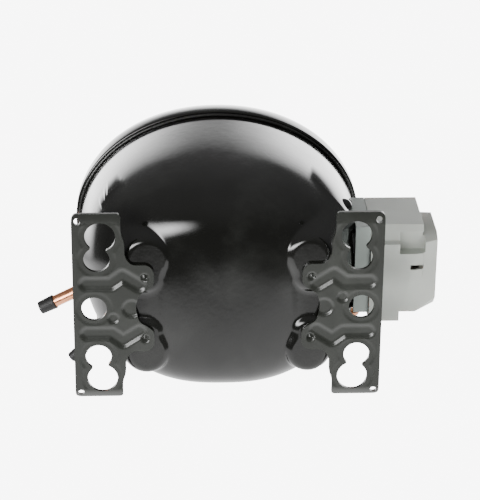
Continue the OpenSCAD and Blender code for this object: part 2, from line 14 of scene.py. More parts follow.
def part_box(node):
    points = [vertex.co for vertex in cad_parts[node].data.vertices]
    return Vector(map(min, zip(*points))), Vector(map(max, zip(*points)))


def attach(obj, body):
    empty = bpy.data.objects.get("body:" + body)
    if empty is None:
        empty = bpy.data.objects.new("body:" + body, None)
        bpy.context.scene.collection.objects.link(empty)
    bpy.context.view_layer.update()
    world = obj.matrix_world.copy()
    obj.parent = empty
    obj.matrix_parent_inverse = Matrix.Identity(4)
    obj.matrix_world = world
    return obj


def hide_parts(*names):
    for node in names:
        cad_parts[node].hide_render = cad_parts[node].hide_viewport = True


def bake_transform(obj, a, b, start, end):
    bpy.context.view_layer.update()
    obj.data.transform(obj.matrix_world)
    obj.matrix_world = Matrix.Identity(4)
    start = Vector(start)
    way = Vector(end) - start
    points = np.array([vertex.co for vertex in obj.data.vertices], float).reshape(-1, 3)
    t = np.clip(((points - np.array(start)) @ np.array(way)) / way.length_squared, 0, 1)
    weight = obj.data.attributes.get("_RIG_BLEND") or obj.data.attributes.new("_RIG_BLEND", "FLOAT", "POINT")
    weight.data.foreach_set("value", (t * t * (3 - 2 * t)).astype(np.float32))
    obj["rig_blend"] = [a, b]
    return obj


bl_info = {
    "name": "Hermetic compressor",
    "version": (1, 0, 0),
    "blender": (4, 5, 0),
    "location": "View3D > Sidebar > Compressor",
    "description": "Builds the finished surfaces of a hermetic compressor round its packed frame",
    "category": "Object",
}

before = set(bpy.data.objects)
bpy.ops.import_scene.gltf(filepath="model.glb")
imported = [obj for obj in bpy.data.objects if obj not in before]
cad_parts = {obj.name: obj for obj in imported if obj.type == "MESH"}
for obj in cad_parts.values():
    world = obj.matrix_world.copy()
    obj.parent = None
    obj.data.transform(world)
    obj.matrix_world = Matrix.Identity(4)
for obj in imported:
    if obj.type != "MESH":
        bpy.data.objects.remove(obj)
MM = 0.001

SHELL_X = -3.0          # shell centre and crankshaft from the centre of the feet, mm
SHELL_Y = -4.5
SEAM_Z = 140.0          # the weld, above the feet
WALL = 3.0
LOWER_HALF = (97.3, 77.3)    # half length and half depth of the lower shell at the seam
LOWER_POWER = 2.7            # exponent of the lower shell's sections at its pole
UPPER_POWER = 2.3            # exponent of the upper shell's sections at its pole


# ------------------------------------------------------------------ sizes and colours

def length(name, text, default):
    """A length in metres, given here in millimetres."""
    return FloatProperty(name=name, description=text, default=default * MM, min=0.0,
                         unit="LENGTH", subtype="DISTANCE", precision=4)


def colour(name, text, default):
    return FloatVectorProperty(name=name, description=text, default=default, size=4,
                               min=0.0, max=1.0, subtype="COLOR")


class CompressorShellSizes(bpy.types.PropertyGroup):
    round_length: FloatProperty(name="Roundness along", default=3.3, min=1.5, max=6.0,
                                description="How full the lower shell's profile is along its length")
    round_depth: FloatProperty(name="Roundness across", default=5.8, min=1.5, max=8.0,
                               description="How full the lower shell's profile is across its depth")
    round_top: FloatProperty(name="Roundness of the top", default=2.0, min=1.5, max=6.0,
                             description="How full the upper shell's profile is")
    edge_radius: length("Edge radius", "Rounding of the upper shell's lower edge", 1.3)
    pad_blend: length("Pad blend", "How softly the mounting pads run into the shell", 1.5)
    around: IntProperty(name="Points round", default=384, min=64,
                        description="Points round the shell")


class CompressorPlateSizes(bpy.types.PropertyGroup):
    thickness: length("Thickness", "Sheet thickness of the base plates", 2.5)
    channel_width: length("Channel width", "Width of the pressed stiffening channels", 8.0)
    channel_depth: length("Channel depth", "Depth of the pressed stiffening channels", 1.25)
    rim_width: length("Rim width", "Width of the dished rim round each grommet hole", 3.6)
    rim_depth: length("Rim depth", "Depth of the dished rim", 0.15)
    pitch: length("Grid pitch", "Spacing of the points over a plate", 0.8)
    edge_round: length("Edge rounding", "Rounding of the sheared edges", 0.35)


class CompressorTubeSizes(bpy.types.PropertyGroup):
    wall: length("Tube wall", "Wall of the copper tubes", 0.85)
    braze: length("Braze fillet", "Reach of the braze fillet where a tube leaves the shell", 2.6)


class CompressorBoxSizes(bpy.types.PropertyGroup):
    cover_edge: length("Cover edges", "Rounding of the terminal cover's edges", 0.8)
    small_edge: length("Small edges", "Rounding of the small plastic parts", 0.5)
    metal_edge: length("Metal edges", "Rounding of the machined parts' edges", 0.35)
    cast_edge: length("Cast edges", "Rounding of the cast parts' edges", 0.9)


class CompressorColours(bpy.types.PropertyGroup):
    enamel: colour("Enamel", "Black enamel of the shell", (0.0040, 0.0041, 0.0034, 1))
    plate_enamel: colour("Plate enamel", "Enamel of the base plates", (0.016, 0.0175, 0.0145, 1))
    copper: colour("Copper", "Drawn copper tube", (0.90, 0.40, 0.22, 1))
    rubber: colour("Rubber", "Shipping caps", (0.012, 0.012, 0.012, 1))
    cover: colour("Cover", "Plastic of the terminal cover", (0.47, 0.49, 0.45, 1))
    holder: colour("Holder", "Plastic of the relay holder", (0.32, 0.36, 0.335, 1))


class CompressorStageSizes(bpy.types.PropertyGroup):
    camera_x: FloatProperty(name="Camera X", default=-0.04161, unit="LENGTH",
                            description="Camera position along X")
    camera_y: FloatProperty(name="Camera Y", default=-0.55741, unit="LENGTH",
                            description="Camera position along Y")
    camera_z: FloatProperty(name="Camera Z", default=-1.14656, unit="LENGTH",
                            description="Camera position along Z")
    tilt: FloatProperty(name="Tilt", default=math.radians(24.2326), subtype="ANGLE",
                        description="How far the camera leans back from straight up")
    swing: FloatProperty(name="Swing", default=math.radians(-2.2322), subtype="ANGLE",
                         description="Sideways turn of the camera")
    roll: FloatProperty(name="Roll", default=math.radians(-0.4931), subtype="ANGLE",
                        description="Turn of the camera about its own axis")
    lens: FloatProperty(name="Lens", default=140.79, subtype="DISTANCE_CAMERA",
                        description="Focal length on a 36 mm sensor, in millimetres")


# ------------------------------------------------------------------ mesh tools

def box_of(node):
    """Lowest and highest corner of a node, in mm."""
    low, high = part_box(node)
    return np.array(low) / MM, np.array(high) / MM


def signed_volume(verts, faces):
    """Volume inside a closed mesh: a sixth of the sum of a . (b x c) over its triangles."""
    total = 0.0
    for group in faces:
        if len(group) == 0:
            continue
        a = verts[group[:, 0]]
        for k in range(1, group.shape[1] - 1):
            b, c = verts[group[:, k]], verts[group[:, k + 1]]
            total += float(np.einsum("ij,ij->i", a, np.cross(b, c)).sum())
    return total / 6


def build(name, parts, material, body, nodes, sharp=40.0, blend=None):
    """One object from closed parts, each (verts in mm, [face arrays]), turned so faces point out."""
    all_verts, all_faces, base = [], [], 0
    for verts, groups in parts:
        turned = signed_volume(verts, groups) < 0
        for group in groups:
            if len(group):
                group = group[:, ::-1] if turned else group
                all_faces += (group + base).tolist()
        all_verts.append(verts)
        base += len(verts)
    mesh = bpy.data.meshes.new(name)
    mesh.from_pydata((np.concatenate(all_verts) * MM).tolist(), [], all_faces)
    mesh.update()
    return present(name, mesh, material, body, nodes, sharp, blend)


def present(name, mesh, material, body, nodes, sharp=40.0, blend=None):
    """Shows a mesh as a piece: smooth between sharp edges, riding on its body. With blend, a start
    and an end point in mm, it bends from the shell to the pump instead."""
    mesh.polygons.foreach_set("use_smooth", np.ones(len(mesh.polygons), dtype=bool))
    mesh.set_sharp_from_angle(angle=math.radians(sharp))
    mesh.materials.append(material)
    piece = bpy.data.objects.new(name, mesh)
    bpy.context.scene.collection.objects.link(piece)
    if blend:
        start, end = (tuple(v * MM for v in point) for point in blend)
        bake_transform(piece, "shell", "pump_unit", start=start, end=end)
    else:
        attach(piece, body)
    if nodes:
        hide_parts(*nodes)
    return piece


def skin(rows, loop=False):
    """Closed surface over a grid (rows, columns, 3) whose columns run round: quads between
    neighbouring rows, and each open end closed by a fan to the middle of its row. With loop,
    the last row joins the first and there are no ends."""
    n, m = rows.shape[:2]
    j = np.arange(m)
    r = np.arange(n if loop else n - 1)
    here = r[:, None] * m
    there = ((r + 1) % n)[:, None] * m
    quads = np.stack([here + j, here + (j + 1) % m, there + (j + 1) % m, there + j], -1).reshape(-1, 4)
    verts = rows.reshape(-1, 3)
    if loop:
        return verts, [quads]
    ends = np.stack([rows[0].mean(0), rows[-1].mean(0)])
    first = np.stack([np.full(m, n * m), (j + 1) % m, j], -1)
    last = np.stack([np.full(m, n * m + 1), (n - 1) * m + j, (n - 1) * m + (j + 1) % m], -1)
    return np.concatenate([verts, ends]), [quads, first, last]


def turned(profile, origin, axis, around=64):
    """Surface of revolution: each (radius, height) of the profile is carried round the axis
    through origin."""
    axis = np.asarray(axis, float) / np.linalg.norm(axis)
    side = np.cross(axis, [0.0, 0.0, 1.0] if abs(axis[2]) < 0.9 else [1.0, 0.0, 0.0])
    side /= np.linalg.norm(side)
    other = np.cross(axis, side)
    profile = np.asarray(profile, float)
    t = np.linspace(0, 2 * np.pi, around, endpoint=False)
    ring = np.cos(t)[:, None] * side + np.sin(t)[:, None] * other
    out, up = profile[:, 0, None, None], profile[:, 1, None, None]
    return np.asarray(origin, float) + out * ring + up * axis


def rounded(corners, radius, steps=6):
    """Profile with its inner corners rounded: each corner becomes a quadratic arc between points
    that stand radius away from it along its two sides."""
    corners = np.asarray(corners, float)
    out = [corners[:1]]
    t = np.linspace(0, 1, steps)[:, None]
    for before, at, after in zip(corners[:-2], corners[1:-1], corners[2:]):
        back, on = before - at, after - at
        reach = min(radius, np.linalg.norm(back) * 0.45, np.linalg.norm(on) * 0.45)
        a = at + back / np.linalg.norm(back) * reach
        b = at + on / np.linalg.norm(on) * reach
        out.append((1 - t) ** 2 * a + 2 * t * (1 - t) * at + t ** 2 * b)
    out.append(corners[-1:])
    return np.concatenate(out)


def smooth_path(points, steps):
    """Catmull-Rom curve: between two points it is the cubic whose slope at each is half the
    chord between that point's neighbours."""
    p = np.asarray(points, float)
    p = np.concatenate([p[:1], p, p[-1:]])
    t = np.linspace(0, 1, steps, endpoint=False)[:, None, None]
    a, b, c, d = p[:-3], p[1:-2], p[2:-1], p[3:]
    curve = 0.5 * (2 * b + (c - a) * t + (2 * a - 5 * b + 4 * c - d) * t ** 2
                   + (3 * b - a - 3 * c + d) * t ** 3)
    return np.concatenate([curve.transpose(1, 0, 2).reshape(-1, 3), p[-1:]])


def swept(path, radius, around=20):
    """Round rod along a path: a circle square to the path at each point, turned as little as
    possible from the one before it. radius is one number or one for each point."""
    along = np.gradient(path, axis=0)
    along /= np.linalg.norm(along, axis=1)[:, None]
    side = np.empty_like(along)
    last = np.cross(along[0], [0.3, 0.5, 0.81])
    for i, d in enumerate(along):
        last = last - last.dot(d) * d
        last /= np.linalg.norm(last)
        side[i] = last
    other = np.cross(along, side)
    t = np.linspace(0, 2 * np.pi, around, endpoint=False)[None, :, None]
    radius = np.broadcast_to(radius, len(path))[:, None, None]
    return path[:, None] + radius * (np.cos(t) * side[:, None] + np.sin(t) * other[:, None])


def softened(node, material, body, edge, name, sharp=30.0, segments=3):
    """A node's own shape with rounded edges: its loose triangles are merged, flat areas joined
    and every edge sharper than 30 degrees bevelled."""
    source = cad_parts[node]
    mesh = source.data.copy()
    mesh.name = name
    mesh.materials.clear()
    work = bmesh.new()
    work.from_mesh(mesh)
    bmesh.ops.remove_doubles(work, verts=work.verts, dist=2e-6)
    bmesh.ops.dissolve_limit(work, angle_limit=math.radians(0.8), verts=work.verts, edges=work.edges)
    work.to_mesh(mesh)
    work.free()
    for layer in list(mesh.attributes):
        if layer.name.startswith("custom_normal"):
            mesh.attributes.remove(layer)
    piece = present(name, mesh, material, body, [node], sharp)
    bevel = piece.modifiers.new("Edges", "BEVEL")
    bevel.width = edge
    bevel.segments = segments
    bevel.limit_method = "ANGLE"
    bevel.angle_limit = math.radians(30)
    bevel.harden_normals = True
    bevel.miter_outer = "MITER_ARC"
    return piece


# ------------------------------------------------------------------ shared shader groups

def shader_group(name, inputs, outputs):
    """Empty node group with its sockets: inputs are (name, default), outputs are names."""
    group = bpy.data.node_groups.new(name, "ShaderNodeTree")
    for label, default in inputs:
        socket = group.interface.new_socket(label, in_out="INPUT",
                                            socket_type="NodeSocketColor" if isinstance(default, tuple)
                                            else "NodeSocketFloat")
        socket.default_value = default
    for label, kind in outputs:
        group.interface.new_socket(label, in_out="OUTPUT", socket_type=kind)
    entry = group.nodes.new("NodeGroupInput")
    leave = group.nodes.new("NodeGroupOutput")
    return group, entry, leave


def noise(nodes, links, source, scale, detail=3.0, rough=0.55):
    """Noise texture over source; scale is a number or a socket."""
    node = nodes.new("ShaderNodeTexNoise")
    node.inputs["Detail"].default_value = detail
    node.inputs["Roughness"].default_value = rough
    links.new(source, node.inputs["Vector"])
    if isinstance(scale, (int, float)):
        node.inputs["Scale"].default_value = scale
    else:
        links.new(scale, node.inputs["Scale"])
    return node


def spread(nodes, links, value, low, high, to_low=0.0, to_high=1.0):
    """Map Range from low..high to to_low..to_high, held inside."""
    node = nodes.new("ShaderNodeMapRange")
    links.new(value, node.inputs["Value"])
    for label, number in (("From Min", low), ("From Max", high), ("To Min", to_low),
                          ("To Max", to_high)):
        if isinstance(number, (int, float)):
            node.inputs[label].default_value = number
        else:
            links.new(number, node.inputs[label])
    return node.outputs["Result"]


def arithmetic(nodes, links, operation, a, b):
    """Math node over two values, each a number or a socket."""
    node = nodes.new("ShaderNodeMath")
    node.operation = operation
    for socket, value in zip(node.inputs, (a, b)):
        if isinstance(value, (int, float)):
            socket.default_value = value
        else:
            links.new(value, socket)
    return node.outputs[0]


def make_paint_skin():
    """Sprayed enamel: a long orange-peel wave, fine dust nibs, and a cloudy gloss."""
    group, entry, leave = shader_group(
        "Paint skin", [("Wave", 260.0), ("Gloss low", 0.08), ("Gloss high", 0.2)],
        [("Height", "NodeSocketFloat"), ("Roughness", "NodeSocketFloat"), ("Film", "NodeSocketFloat")])
    n, l = group.nodes, group.links
    here = n.new("ShaderNodeTexCoord").outputs["Object"]
    wave = noise(n, l, here, entry.outputs["Wave"], 1.5)
    nib = noise(n, l, here, 2600.0, 1.0)
    nibs = spread(n, l, nib.outputs["Fac"], 0.68, 0.8, 0.0, 0.35)
    cloud = noise(n, l, here, 28.0, 4.0)
    l.new(arithmetic(n, l, "ADD", wave.outputs["Fac"], nibs), leave.inputs["Height"])
    l.new(spread(n, l, cloud.outputs["Fac"], 0.3, 0.7, entry.outputs["Gloss low"],
                 entry.outputs["Gloss high"]), leave.inputs["Roughness"])
    l.new(spread(n, l, cloud.outputs["Fac"], 0.35, 0.75), leave.inputs["Film"])
    return group


def make_handling():
    """Handling marks: short rubbed streaks and a thin dust that gathers in patches."""
    group, entry, leave = shader_group(
        "Handling marks", [("Scale", 60.0), ("Amount", 0.5)],
        [("Streaks", "NodeSocketFloat"), ("Dust", "NodeSocketFloat")])
    n, l = group.nodes, group.links
    here = n.new("ShaderNodeTexCoord").outputs["Object"]
    stretch = n.new("ShaderNodeMapping")
    stretch.inputs["Scale"].default_value = (1.0, 9.0, 2.0)
    stretch.inputs["Rotation"].default_value = (0.2, 0.4, 0.9)
    l.new(here, stretch.inputs["Vector"])
    streak = noise(n, l, stretch.outputs["Vector"], entry.outputs["Scale"], 5.0, 0.7)
    patch = noise(n, l, here, 18.0, 5.0, 0.62)
    for value, low, high, label in ((streak, 0.62, 0.75, "Streaks"), (patch, 0.5, 0.8, "Dust")):
        mask = spread(n, l, value.outputs["Fac"], low, high)
        l.new(arithmetic(n, l, "MULTIPLY", mask, entry.outputs["Amount"]), leave.inputs[label])
    return group


def make_grain():
    """Moulded or cast grain: small cells over a softer swell."""
    group, entry, leave = shader_group(
        "Surface grain", [("Cells", 1400.0), ("Swell", 90.0)],
        [("Height", "NodeSocketFloat"), ("Shade", "NodeSocketFloat")])
    n, l = group.nodes, group.links
    here = n.new("ShaderNodeTexCoord").outputs["Object"]
    cells = n.new("ShaderNodeTexVoronoi")
    cells.feature = "SMOOTH_F1"
    l.new(here, cells.inputs["Vector"])
    l.new(entry.outputs["Cells"], cells.inputs["Scale"])
    swell = noise(n, l, here, entry.outputs["Swell"], 4.0)
    l.new(arithmetic(n, l, "ADD", cells.outputs["Distance"], swell.outputs["Fac"]),
          leave.inputs["Height"])
    l.new(spread(n, l, swell.outputs["Fac"], 0.3, 0.7), leave.inputs["Shade"])
    return group


def make_lines():
    """Fine parallel lines along one axis: drawing lines, machining marks or lamination edges."""
    group, entry, leave = shader_group(
        "Fine lines", [("X", 40.0), ("Y", 40.0), ("Z", 1500.0)],
        [("Height", "NodeSocketFloat"), ("Shade", "NodeSocketFloat")])
    n, l = group.nodes, group.links
    here = n.new("ShaderNodeTexCoord").outputs["Object"]
    join = n.new("ShaderNodeCombineXYZ")
    for axis in "XYZ":
        l.new(entry.outputs[axis], join.inputs[axis])
    scale = n.new("ShaderNodeVectorMath")
    scale.operation = "MULTIPLY"
    l.new(here, scale.inputs[0])
    l.new(join.outputs[0], scale.inputs[1])
    lines = noise(n, l, scale.outputs["Vector"], 1.0, 3.0, 0.6)
    l.new(lines.outputs["Fac"], leave.inputs["Height"])
    l.new(spread(n, l, lines.outputs["Fac"], 0.3, 0.7), leave.inputs["Shade"])
    return group


GROUPS = {}


def group_of(name):
    """A shared shader group, built the first time it is asked for."""
    makers = {"paint": make_paint_skin, "marks": make_handling, "grain": make_grain,
              "lines": make_lines}
    if name not in GROUPS:
        GROUPS[name] = makers[name]()
    return GROUPS[name]


def begin(name, **fixed):
    """New material: its node tree, links and Principled BSDF, with fixed values on its sockets."""
    material = bpy.data.materials.new(name)
    material.use_nodes = True
    tree = material.node_tree
    shader = tree.nodes["Principled BSDF"]
    for label, value in fixed.items():
        shader.inputs[label.replace("_", " ")].default_value = value
    return material, tree.nodes, tree.links, shader


def place(nodes, name, **values):
    """Puts a shared group into a material, with its own values."""
    node = nodes.new("ShaderNodeGroup")
    node.node_tree = group_of(name)
    for label, value in values.items():
        node.inputs[label.replace("_", " ")].default_value = value
    return node


def bump(nodes, links, height, shader, depth, strength=1.0):
    """Turns a height into the shader's normal; depth is in metres."""
    node = nodes.new("ShaderNodeBump")
    node.inputs["Strength"].default_value = strength
    node.inputs["Distance"].default_value = depth
    links.new(height, node.inputs["Height"])
    links.new(node.outputs["Normal"], shader.inputs["Normal"])


def tint(nodes, links, factor, a, b, target):
    """Mixes colours a and b by factor into the target socket."""
    mix = nodes.new("ShaderNodeMix")
    mix.data_type = "RGBA"
    links.new(factor, mix.inputs["Factor"])
    mix.inputs[6].default_value = a
    mix.inputs[7].default_value = b
    links.new(mix.outputs[2], target)


def shade(colour_value, by):
    """A colour times by, held under 1."""
    return tuple(min(1.0, c * by) for c in colour_value[:3]) + (1.0,)


def enamel(name, base, low, high, depth, dust=0.25):
    """Glossy sprayed enamel over sheet steel, with dust and rubbed streaks."""
    material, n, l, shader = begin(name, Specular_IOR_Level=0.5, Coat_Roughness=0.06)
    skin_node = place(n, "paint", Gloss_low=low, Gloss_high=high)
    marks = place(n, "marks", Amount=dust)
    tint(n, l, marks.outputs["Dust"], base, (0.10, 0.105, 0.095, 1), shader.inputs["Base Color"])
    lift = spread(n, l, marks.outputs["Streaks"], 0.0, 1.0, 0.0, 0.22)
    l.new(arithmetic(n, l, "ADD", skin_node.outputs["Roughness"], lift), shader.inputs["Roughness"])
    l.new(spread(n, l, skin_node.outputs["Film"], 0.0, 1.0, 0.1, 0.3), shader.inputs["Coat Weight"])
    bump(n, l, skin_node.outputs["Height"], shader, depth)
    return material


def drawn_metal(name, base, rough, lines, tarnish=0.35, metallic=1.0, depth=0.00004):
    """Bare metal with fine lines and a patchy tarnish; lines are the scales along X, Y and Z."""
    material, n, l, shader = begin(name, Metallic=metallic)
    marks_on = place(n, "lines", X=lines[0], Y=lines[1], Z=lines[2])
    grain_on = place(n, "grain", Cells=700.0, Swell=60.0)
    tint(n, l, spread(n, l, grain_on.outputs["Shade"], 0.0, 1.0, 0.0, tarnish), base,
         shade(base, 0.42), shader.inputs["Base Color"])
    l.new(spread(n, l, marks_on.outputs["Shade"], 0.0, 1.0, rough - 0.07, rough + 0.1),
          shader.inputs["Roughness"])
    bump(n, l, marks_on.outputs["Height"], shader, depth, 0.6)
    return material


def moulded(name, base, rough, cells=1500.0, depth=0.00005, soft=0.0):
    """Moulded plastic or rubber with a fine grain and slight colour drift."""
    material, n, l, shader = begin(name, Specular_IOR_Level=0.4, Subsurface_Weight=soft)
    grain_on = place(n, "grain", Cells=cells, Swell=45.0)
    marks = place(n, "marks", Scale=90.0, Amount=0.3)
    tint(n, l, grain_on.outputs["Shade"], shade(base, 0.94), shade(base, 1.05),
         shader.inputs["Base Color"])
    l.new(spread(n, l, marks.outputs["Streaks"], 0.0, 1.0, rough, rough + 0.2),
          shader.inputs["Roughness"])
    bump(n, l, grain_on.outputs["Height"], shader, depth, 0.5)
    return material


def cast_metal(name, base, rough, metallic=0.9):
    """Sand-cast metal: coarse pitted grain with darker hollows."""
    material, n, l, shader = begin(name, Metallic=metallic)
    grain_on = place(n, "grain", Cells=900.0, Swell=140.0)
    marks = place(n, "marks", Amount=0.5)
    tint(n, l, grain_on.outputs["Shade"], shade(base, 0.6), base, shader.inputs["Base Color"])
    l.new(spread(n, l, marks.outputs["Streaks"], 0.0, 0.5, rough, rough - 0.15),
          shader.inputs["Roughness"])
    bump(n, l, grain_on.outputs["Height"], shader, 0.00016, 0.8)
    return material


def fused_glass(name):
    """Blue-green sealing glass, slightly uneven."""
    material, n, l, shader = begin(name, Metallic=0.0, Transmission_Weight=0.7, IOR=1.5)
    grain_on = place(n, "grain", Cells=500.0, Swell=200.0)
    tint(n, l, grain_on.outputs["Shade"], (0.10, 0.28, 0.30, 1), (0.22, 0.46, 0.48, 1),
         shader.inputs["Base Color"])
    l.new(spread(n, l, grain_on.outputs["Shade"], 0.0, 1.0, 0.03, 0.12), shader.inputs["Roughness"])
    return material


FINISHES = {}


def finish_of(name):
    """A finish by name, built the first time it is asked for."""
    c = bpy.context.scene.compressor_colours
    steel = (0.56, 0.57, 0.58, 1)
    makers = {
        "enamel": lambda: enamel("Black enamel", tuple(c.enamel), 0.07, 0.15, 0.00002, 0.12),
        "plate enamel": lambda: enamel("Plate enamel", tuple(c.plate_enamel), 0.26, 0.35,
                                       0.00002, 0.18),
        "weld": lambda: enamel("Painted weld", tuple(c.enamel), 0.25, 0.4, 0.0001, 0.2),
        "copper": lambda: drawn_metal("Drawn copper", tuple(c.copper), 0.24, (300, 300, 300), 0.16),
        "rubber": lambda: moulded("Cap rubber", tuple(c.rubber), 0.55, 1100.0, 0.00006),
        "cover": lambda: moulded("Cover plastic", tuple(c.cover), 0.42, 1700.0, 0.00004, 0.02),
        "holder": lambda: moulded("Holder plastic", tuple(c.holder), 0.45, 1500.0, 0.00005),
        "relay": lambda: moulded("Relay plastic", (0.70, 0.67, 0.58, 1), 0.38),
        "phenolic": lambda: moulded("Phenolic", (0.02, 0.02, 0.023, 1), 0.25, 900.0),
        "nylon": lambda: moulded("Nylon", (0.76, 0.73, 0.62, 1), 0.4, 800.0, 0.00003, 0.08),
        "gasket": lambda: moulded("Gasket fibre", (0.10, 0.095, 0.08, 1), 0.8, 600.0, 0.0001),
        "sleeve": lambda: moulded("Varnished sleeve", (0.07, 0.09, 0.2, 1), 0.35, 1800.0),
        "zinc": lambda: drawn_metal("Zinc plate", (0.66, 0.64, 0.52, 1), 0.3, (500, 500, 500), 0.25),
        "spring": lambda: drawn_metal("Spring steel", steel, 0.25, (200, 200, 900), 0.2),
        "header": lambda: drawn_metal("Header steel", (0.52, 0.53, 0.52, 1), 0.32, (60, 900, 900), 0.3),
        "ground": lambda: drawn_metal("Ground steel", (0.50, 0.51, 0.53, 1), 0.2, (60, 60, 2600), 0.12),
        "lamination": lambda: drawn_metal("Stacked laminations", (0.34, 0.35, 0.37, 1), 0.42,
                                          (30, 30, 2000), 0.45, 0.9, 0.00025),
        "wire": lambda: drawn_metal("Enamelled wire", (0.62, 0.24, 0.09, 1), 0.28,
                                    (500, 500, 1400), 0.4, 0.75),
        "aluminium": lambda: cast_metal("Cast aluminium", (0.68, 0.69, 0.70, 1), 0.42),
        "iron": lambda: cast_metal("Grey iron", (0.20, 0.205, 0.21, 1), 0.55),
        "brass": lambda: drawn_metal("Turned brass", (0.78, 0.60, 0.28, 1), 0.25,
                                     (300, 300, 2000), 0.15),
        "glass": lambda: fused_glass("Sealing glass"),
    }
    if name not in FINISHES:
        FINISHES[name] = makers[name]()
    return FINISHES[name]


# ------------------------------------------------------------------ shell

def angles(around, focus=0.0):
    """Angles round the shell, closer together towards the four mounting pads: the running total
    of 1 + focus * (a bump at each pad's direction) is cut into equal shares."""
    t = np.linspace(0, 2 * np.pi, 7201)
    pads = np.radians([34.9, 142.0, 211.0, 331.7])
    off = np.abs((t[:, None] - pads + np.pi) % (2 * np.pi) - np.pi)
    total = np.cumsum(1 + focus * np.clip(1.6 - off.min(1) / math.radians(18), 0, 1))
    total = (total - total[0]) / (total[-1] - total[0])
    return np.interp(np.arange(around) / around, total, t)


def oval(a, b, power, z, t):
    """Level section of the shell: the superellipse |x/a|^p + |y/b|^p = 1 at height z and
    angles t, for arrays of a, b, p and z, one row for each."""
    a, b, power, z = (np.broadcast_to(v, np.broadcast(a, b, power, z).shape)[:, None]
                      for v in (a, b, power, z))
    c, s = np.cos(t)[None], np.sin(t)[None]
    r = (np.abs(c) ** power + np.abs(s) ** power) ** (-1 / power)
    return np.stack([SHELL_X + a * r * c, SHELL_Y + b * r * s, np.broadcast_to(z, r.shape)], -1)


def fall(u, m):
    """Superellipse fall (1 - u^m)^(1/m) of a half width with depth u."""
    return np.maximum(1 - u ** m, 0) ** (1 / m)


def half_shell(half_a, half_b, seam, pole, round_a, round_b, power_to, t, steps):
    """Rows of a half shell from the seam to its pole: half widths fall as (1 - u^m)^(1/m)
    with depth u, and the section's exponent grows from 2 to power_to. The depths are spaced
    evenly by angle and by both half widths, so every bend gets its share."""
    by_angle = np.sin(np.linspace(0, np.pi / 2, max(steps // 3, 12))[1:-1])
    u = np.unique(np.round(np.concatenate([by_angle, fall(np.linspace(0.08, 0.78, steps), round_a),
                                           fall(np.linspace(0.10, 0.95, steps // 2), round_b)]), 6))
    return oval(half_a * fall(u, round_a), half_b * fall(u, round_b), 2 + (power_to - 2) * u,
                seam + (pole - seam) * u, t)


def soft_least(a, b, k):
    """Smooth minimum of two heights: -k log(e^(-a/k) + e^(-b/k))."""
    low = np.minimum(a, b)
    return low - k * np.log1p(np.exp(-np.abs(a - b) / k))


BOSS_AT = (79.8, -45.0, 62.0)
BOSS_RADIUS = 5.5
PAD_DISC = (53.2, 35.0, 10.4)          # centre and radius of a pad's flat disc
PAD_BAR = (55.0, 24.5, 7.8, 11.0)      # centre and half sizes of its flat bar
BAR_ROUND = 6.0                        # corner radius of the bar
PAD_Z = 2.52                           # height of the flat above the ground
SHOULDER = 5.2                         # radius of the arc round the flat
SHOULDER_END = 4.8                     # where the arc gives way to the steep side
SIDE_SLOPE = 2.7
SADDLE = (54.0, 8.0, 16.0, 5.2)        # centre, half length, half depth and height


def outside(x, y, half_x, half_y):
    """Distance from a rectangle about the origin, zero inside it, and the depth inside, from
    zero down."""
    dx, dy = np.abs(x) - half_x, np.abs(y) - half_y
    return np.hypot(np.maximum(dx, 0), np.maximum(dy, 0)), np.minimum(np.maximum(dx, dy), 0)


def press_pads(points, blend):
    """Presses the four mounting pads out of the lower shell: the surface follows the smooth
    minimum of its own height and the pad's. A pad is flat inside a disc joined to a rounded
    bar under the plate's finger; outside it rises along a quarter circle, then steeply. A
    shallow saddle joins the two pads of a side."""
    x, y, z = points[..., 0], points[..., 1], points[..., 2]
    out = z.copy()
    for px in (-1.0, 1.0):
        for side in (-1.0, 1.0):
            ax, ay = x * px, y * side
            disc = np.hypot(ax - PAD_DISC[0], ay - PAD_DISC[1]) - PAD_DISC[2]
            far, deep = outside(ax - PAD_BAR[0], ay - PAD_BAR[1], PAD_BAR[2] - BAR_ROUND,
                                PAD_BAR[3] - BAR_ROUND)
            d = np.maximum(soft_least(disc, far + deep - BAR_ROUND, 2.5) + 0.9, 0)
            arc = SHOULDER - np.sqrt(SHOULDER ** 2 - np.minimum(d, SHOULDER_END) ** 2)
            pad = PAD_Z + arc + np.maximum(d - SHOULDER_END, 0) * SIDE_SLOPE
            near = (d < 24) & (z < 75)
            out = np.where(near, soft_least(out, pad, blend), out)
        d, _ = outside(x * px - SADDLE[0], y, SADDLE[1], SADDLE[2])
        out = np.where((d < 16) & (z < 60), soft_least(out, SADDLE[3] + 0.132 * d ** 2, 1.2), out)
    points[..., 2] = np.maximum(out, np.minimum(z, 2.5))
    return points


